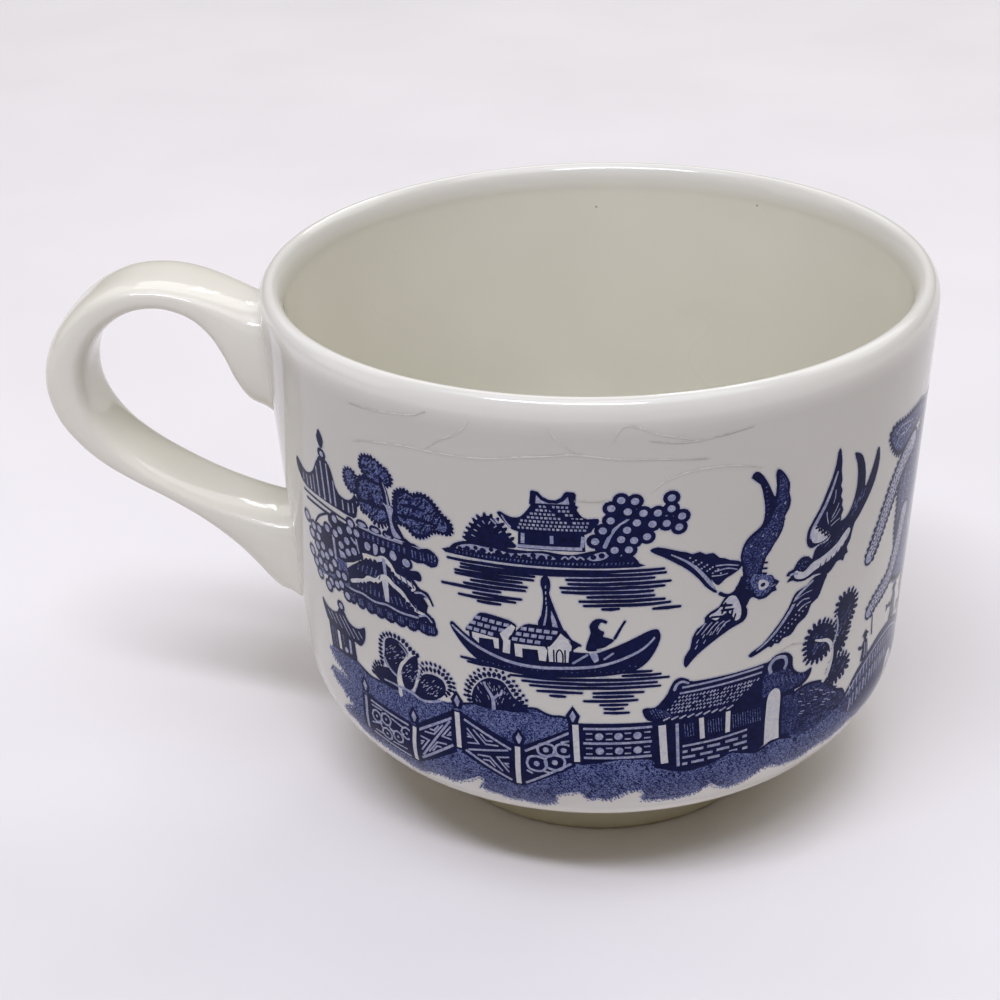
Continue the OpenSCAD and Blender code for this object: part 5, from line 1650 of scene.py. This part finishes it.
def ink_material(name, lo, hi, light=None, size=0.24, cover=0.62, spec=0.2):
    """Cobalt under the glaze: uneven, and broken by fine flecks where it is stippled."""
    n = Nodes(name)
    col = n.ramp(n.noise(0.75, 3.0, 0.6), [(0.32, lo), (0.68, hi)])
    col = n.mix(n.grey(n.noise(9.0, 2.0), [(0.35, 0.0), (0.7, 0.35)]), col, hi)
    if light:
        f = n.noise(size, 1.0, 0.4, distort=1.4)
        c = n.math("ADD", f, n.math("MULTIPLY", n.noise(3.0, 2.0), 0.16))
        gap = n.grey(c, [(cover + 0.08 - 0.035, 0.0), (cover + 0.08 + 0.035, 1.0)])
        col = n.mix(gap, col, light)
    wave = n.noise(9.0, 2.0, 0.5)
    fine = n.noise(0.9, 2.0, 0.5)
    b1 = n.bump(wave, 0.32, 0.12)
    b2 = n.bump(fine, 0.12, 0.01, b1)
    n.put(n.bsdf, Base_Color=col, Roughness=n.grey(n.noise(6.0, 3.0), [(0.3, 0.06), (0.7, 0.12)]), Normal=b2)
    n.bsdf.inputs["IOR"].default_value = 1.52
    n.bsdf.inputs["Specular IOR Level"].default_value = spec
    return n.mat


def clay_material(name):
    """Bare fired clay, where the ring stood in the kiln."""
    n = Nodes(name)
    col = n.ramp(n.noise(2.2, 4.0, 0.6), [(0.3, srgb(196, 182, 156)), (0.7, srgb(216, 204, 182))])
    dots = n.grey(n.noise(0.45, 2.0), [(0.62, 0.0), (0.72, 0.6)])
    col = n.mix(dots, col, srgb(120, 100, 78))
    n.put(n.bsdf, Base_Color=col, Roughness=n.grey(n.noise(0.8, 3.0), [(0.3, 0.6), (0.7, 0.85)]),
          Normal=n.bump(n.noise(0.35, 3.0), 0.5, 0.05))
    return n.mat


# the bowl's stops are painted light and shade: a darker olive underside (painted shade), a near-white band on the lower
# edge (painted highlight), the wall lighter low down than high up (painted floor bounce), a brighter lip crest (painted
# light), the inside lighter than the outside and darker further down (painted light and shade)
glaze = glaze_material("glaze_cream_painted_light_and_shade", [
    (0.0, srgb(196, 190, 172)), (0.05, srgb(250, 247, 240)), (0.1, srgb(214, 211, 204)), (0.2, srgb(205, 202, 196)),
    (0.3, srgb(196, 193, 187)), (0.55, srgb(222, 219, 213)), (0.65, srgb(222, 219, 213)), (0.8, srgb(228, 224, 213)),
    (1.0, srgb(215, 212, 199))], craze=0.45)
# the foot's glaze is an even olive, darker and warmer than the cream glaze: painted shade under the cup
glaze_foot_painted_shade = glaze_material("glaze_foot_painted_shade", [(0.0, srgb(200, 192, 167)), (1.0, srgb(200, 192, 167))], craze=0.3)
glaze_handle = glaze_material("glaze_handle", craze=0.4)
clay = clay_material("bare_clay")
# D solid, S stipple, T close stipple, H blue run in small openings, L the faint wash in larger ones, M the palest, F
# the run round every shape,
# K the pale line of a crack in the glaze and J the painted shade along its lower side
INK = {
    "D": ink_material("ink_solid", srgb(2, 6, 40), srgb(12, 19, 66), spec=0.07),
    "S": ink_material("ink_stipple", srgb(16, 24, 68), srgb(31, 41, 95), srgb(108, 117, 161), 0.21, 0.53, 0.08),
    "T": ink_material("ink_close_stipple", srgb(10, 16, 56), srgb(20, 28, 78), srgb(84, 93, 142), 0.2, 0.6, 0.08),
    "H": ink_material("ink_wash", srgb(112, 118, 155), srgb(140, 144, 174), srgb(158, 159, 182), 0.5, 0.55, 0.3),
    "L": ink_material("ink_faint_wash", srgb(158, 160, 183), srgb(177, 177, 190), srgb(184, 183, 190), 0.9, 0.5, 0.45),
    "M": ink_material("ink_palest_wash", srgb(174, 175, 188), srgb(188, 187, 192), srgb(194, 192, 193), 0.9, 0.5, 0.45),
    "F": ink_material("ink_run", srgb(150, 152, 180), srgb(172, 172, 188), srgb(184, 182, 189), 0.6, 0.55, 0.4),
    "K": ink_material("craze_pale", srgb(203, 200, 194), srgb(222, 220, 214), srgb(198, 195, 189), 1.6, 0.5, 0.5),
    "J": ink_material("craze_painted_shade", srgb(190, 186, 179), srgb(182, 178, 171), srgb(196, 193, 187), 1.6, 0.5, 0.5),
}

# ---------------------------------------------------------------- pieces
prof = bowl_profile()
top = max(range(len(prof)), key=lambda k: (prof[k][1], prof[k][0]))


def painted_light_tag(k):
    """Where a profile point sits on the ramp of painted light and shade: 0 under the cup (painted shade), 0.05 on its
    lower edge (a painted highlight line), 0.2 to 0.3 on the outside wall (lighter low down, painted floor bounce), 0.6
    on the crest of the lip (painted light), 0.8 to 1 inside (lighter than the outside and darker further down: painted
    light and shade).
    """
    z = prof[k][1]
    if k <= top:
        u = min(1.0, max(0.0, (z - 66.2) / (CUP_H - 0.5 - 66.2)))
        low = float(np.interp(z, (10.6, 11.15, 12.3, 13.6, 22.0, 50.0), (0, 0.05, 0.05, 0.1, 0.2, 0.3)))
        return low + 0.3 * u * u * (3 - 2 * u)
    u = min(1.0, max(0.0, (CUP_H - 0.4 - z) / 4.2))
    v = min(1.0, max(0.0, (CUP_H - 8.0 - z) / 22.0))
    return 0.6 + 0.2 * u * u * (3 - 2 * u) + 0.2 * v


bowl = turn("bowl_glazed", prof, 360, tags=[painted_light_tag(k) for k in range(len(prof))])
bowl.data.materials.append(glaze)
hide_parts("cup_bowl", "outer_glaze", "inner_glaze")
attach(bowl, "root")

foot = make_foot()
foot.data.materials.append(glaze_foot_painted_shade)
foot.data.materials.append(clay)
for p in foot.data.polygons:
    c = p.center
    if c.z < 0.55 * MM:
        p.material_index = 1
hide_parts("foot_ring")
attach(foot, "root")

handle = make_handle()
handle.data.materials.append(glaze_handle)
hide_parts("handle", "upper_slip_joint", "lower_slip_joint")
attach(handle, "root")

names = {"D": "print_solid", "S": "print_stipple", "T": "print_close_stipple", "H": "print_wash", "L": "print_faint_wash", "M": "print_palest_wash", "F": "print_run",
         "K": "craze_pale", "J": "craze_painted_shade"}
for art, flow in ((draw(), 0.14), (draw_cracks(), 0.0)):
    pts, groups, box = plan_print(art, 30.0 * KU, flow)
    for part, shift in (("front", 0.0), ("back", 152.0 * KU)):
        for (ink, s), tris in sorted(groups.items()):
            film("%s_%s_%d" % (names[ink], part, s), pts, tris, shift, INK[ink],
                              (box[0] + s * box[1],) + box[1:])
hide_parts("transfer_print")

# ---------------------------------------------------------------- stage and light


def make_stage():
    n = Nodes("pale_floor")
    n.bsdf.inputs["Roughness"].default_value = 0.9
    n.put(n.bsdf, Base_Color=n.ramp(n.noise(60.0, 2.0), [(0.3, srgb(224, 220, 222)), (0.7, srgb(229, 225, 227))]))
    me = bpy.data.meshes.new("floor")
    me.from_pydata([(-3, -3, 0), (3, -3, 0), (3, 3, 0), (-3, 3, 0)], [], [(0, 1, 2, 3)])
    floor = bpy.data.objects.new("floor", me)
    bpy.context.scene.collection.objects.link(floor)
    me.materials.append(n.mat)

    w = bpy.data.worlds.new("studio")
    bpy.context.scene.world = w
    w.use_nodes = True
    bg = w.node_tree.nodes["Background"]
    bg.inputs[0].default_value = (1.0, 0.96, 0.66, 1)
    bg.inputs[1].default_value = 0.12


def area(name, loc, aim, size, power, colour=(1, 1, 1), size_y=None):
    li = bpy.data.lights.new(name, "AREA")
    li.shape = "RECTANGLE"
    li.size = size
    li.size_y = size_y or size
    li.energy = power
    li.color = colour
    ob = bpy.data.objects.new(name, li)
    bpy.context.scene.collection.objects.link(ob)
    ob.location = loc
    d = Vector(aim) - Vector(loc)
    ob.rotation_euler = d.to_track_quat("-Z", "Y").to_euler()
    return ob


make_stage()
area("back", (0.15, 1.0, 1.15), (0, 0.0, 0.03), 1.4, 5.2, (1, 1, 1), 0.8)
area("back_left", (-0.9, 0.7, 1.0), (0, 0.0, 0.03), 1.0, 1.7, (1, 1, 1), 0.8)
area("right", (1.0, 0.6, 1.0), (0, 0.0, 0.03), 1.0, 3.4, (1, 1, 0.95), 0.8)
area("front", (-0.16, -0.6, 1.2), (0, 0.0, 0.03), 0.9, 9.4, (0.87, 0.9, 1.0), 0.14)
area("left", (-1.3, -0.1, 0.5), (0, 0.0, 0.03), 0.8, 1.0, (1, 0.96, 0.94), 0.6)
area("over_left", (-0.3, -0.3, 1.5), (0, 0.0, 0.03), 1.0, 5.6, (0.86, 0.85, 1.0), 1.0)
area("over_right", (0.4, -0.4, 1.4), (0, 0.0, 0.03), 1.0, 6.1, (0.93, 0.91, 1.0), 1.0)
area("pane_a", (0.05, 0.96, 0.75), (0, 0.0, 0.06), 0.03, 0.25, (1, 1, 1), 0.15)
area("pane_b", (0.12, 0.96, 0.75), (0, 0.0, 0.06), 0.018, 0.15, (1, 1, 1), 0.15)

# plain tone curve, so that white ware stays white
bpy.context.scene.view_settings.view_transform = "Standard"
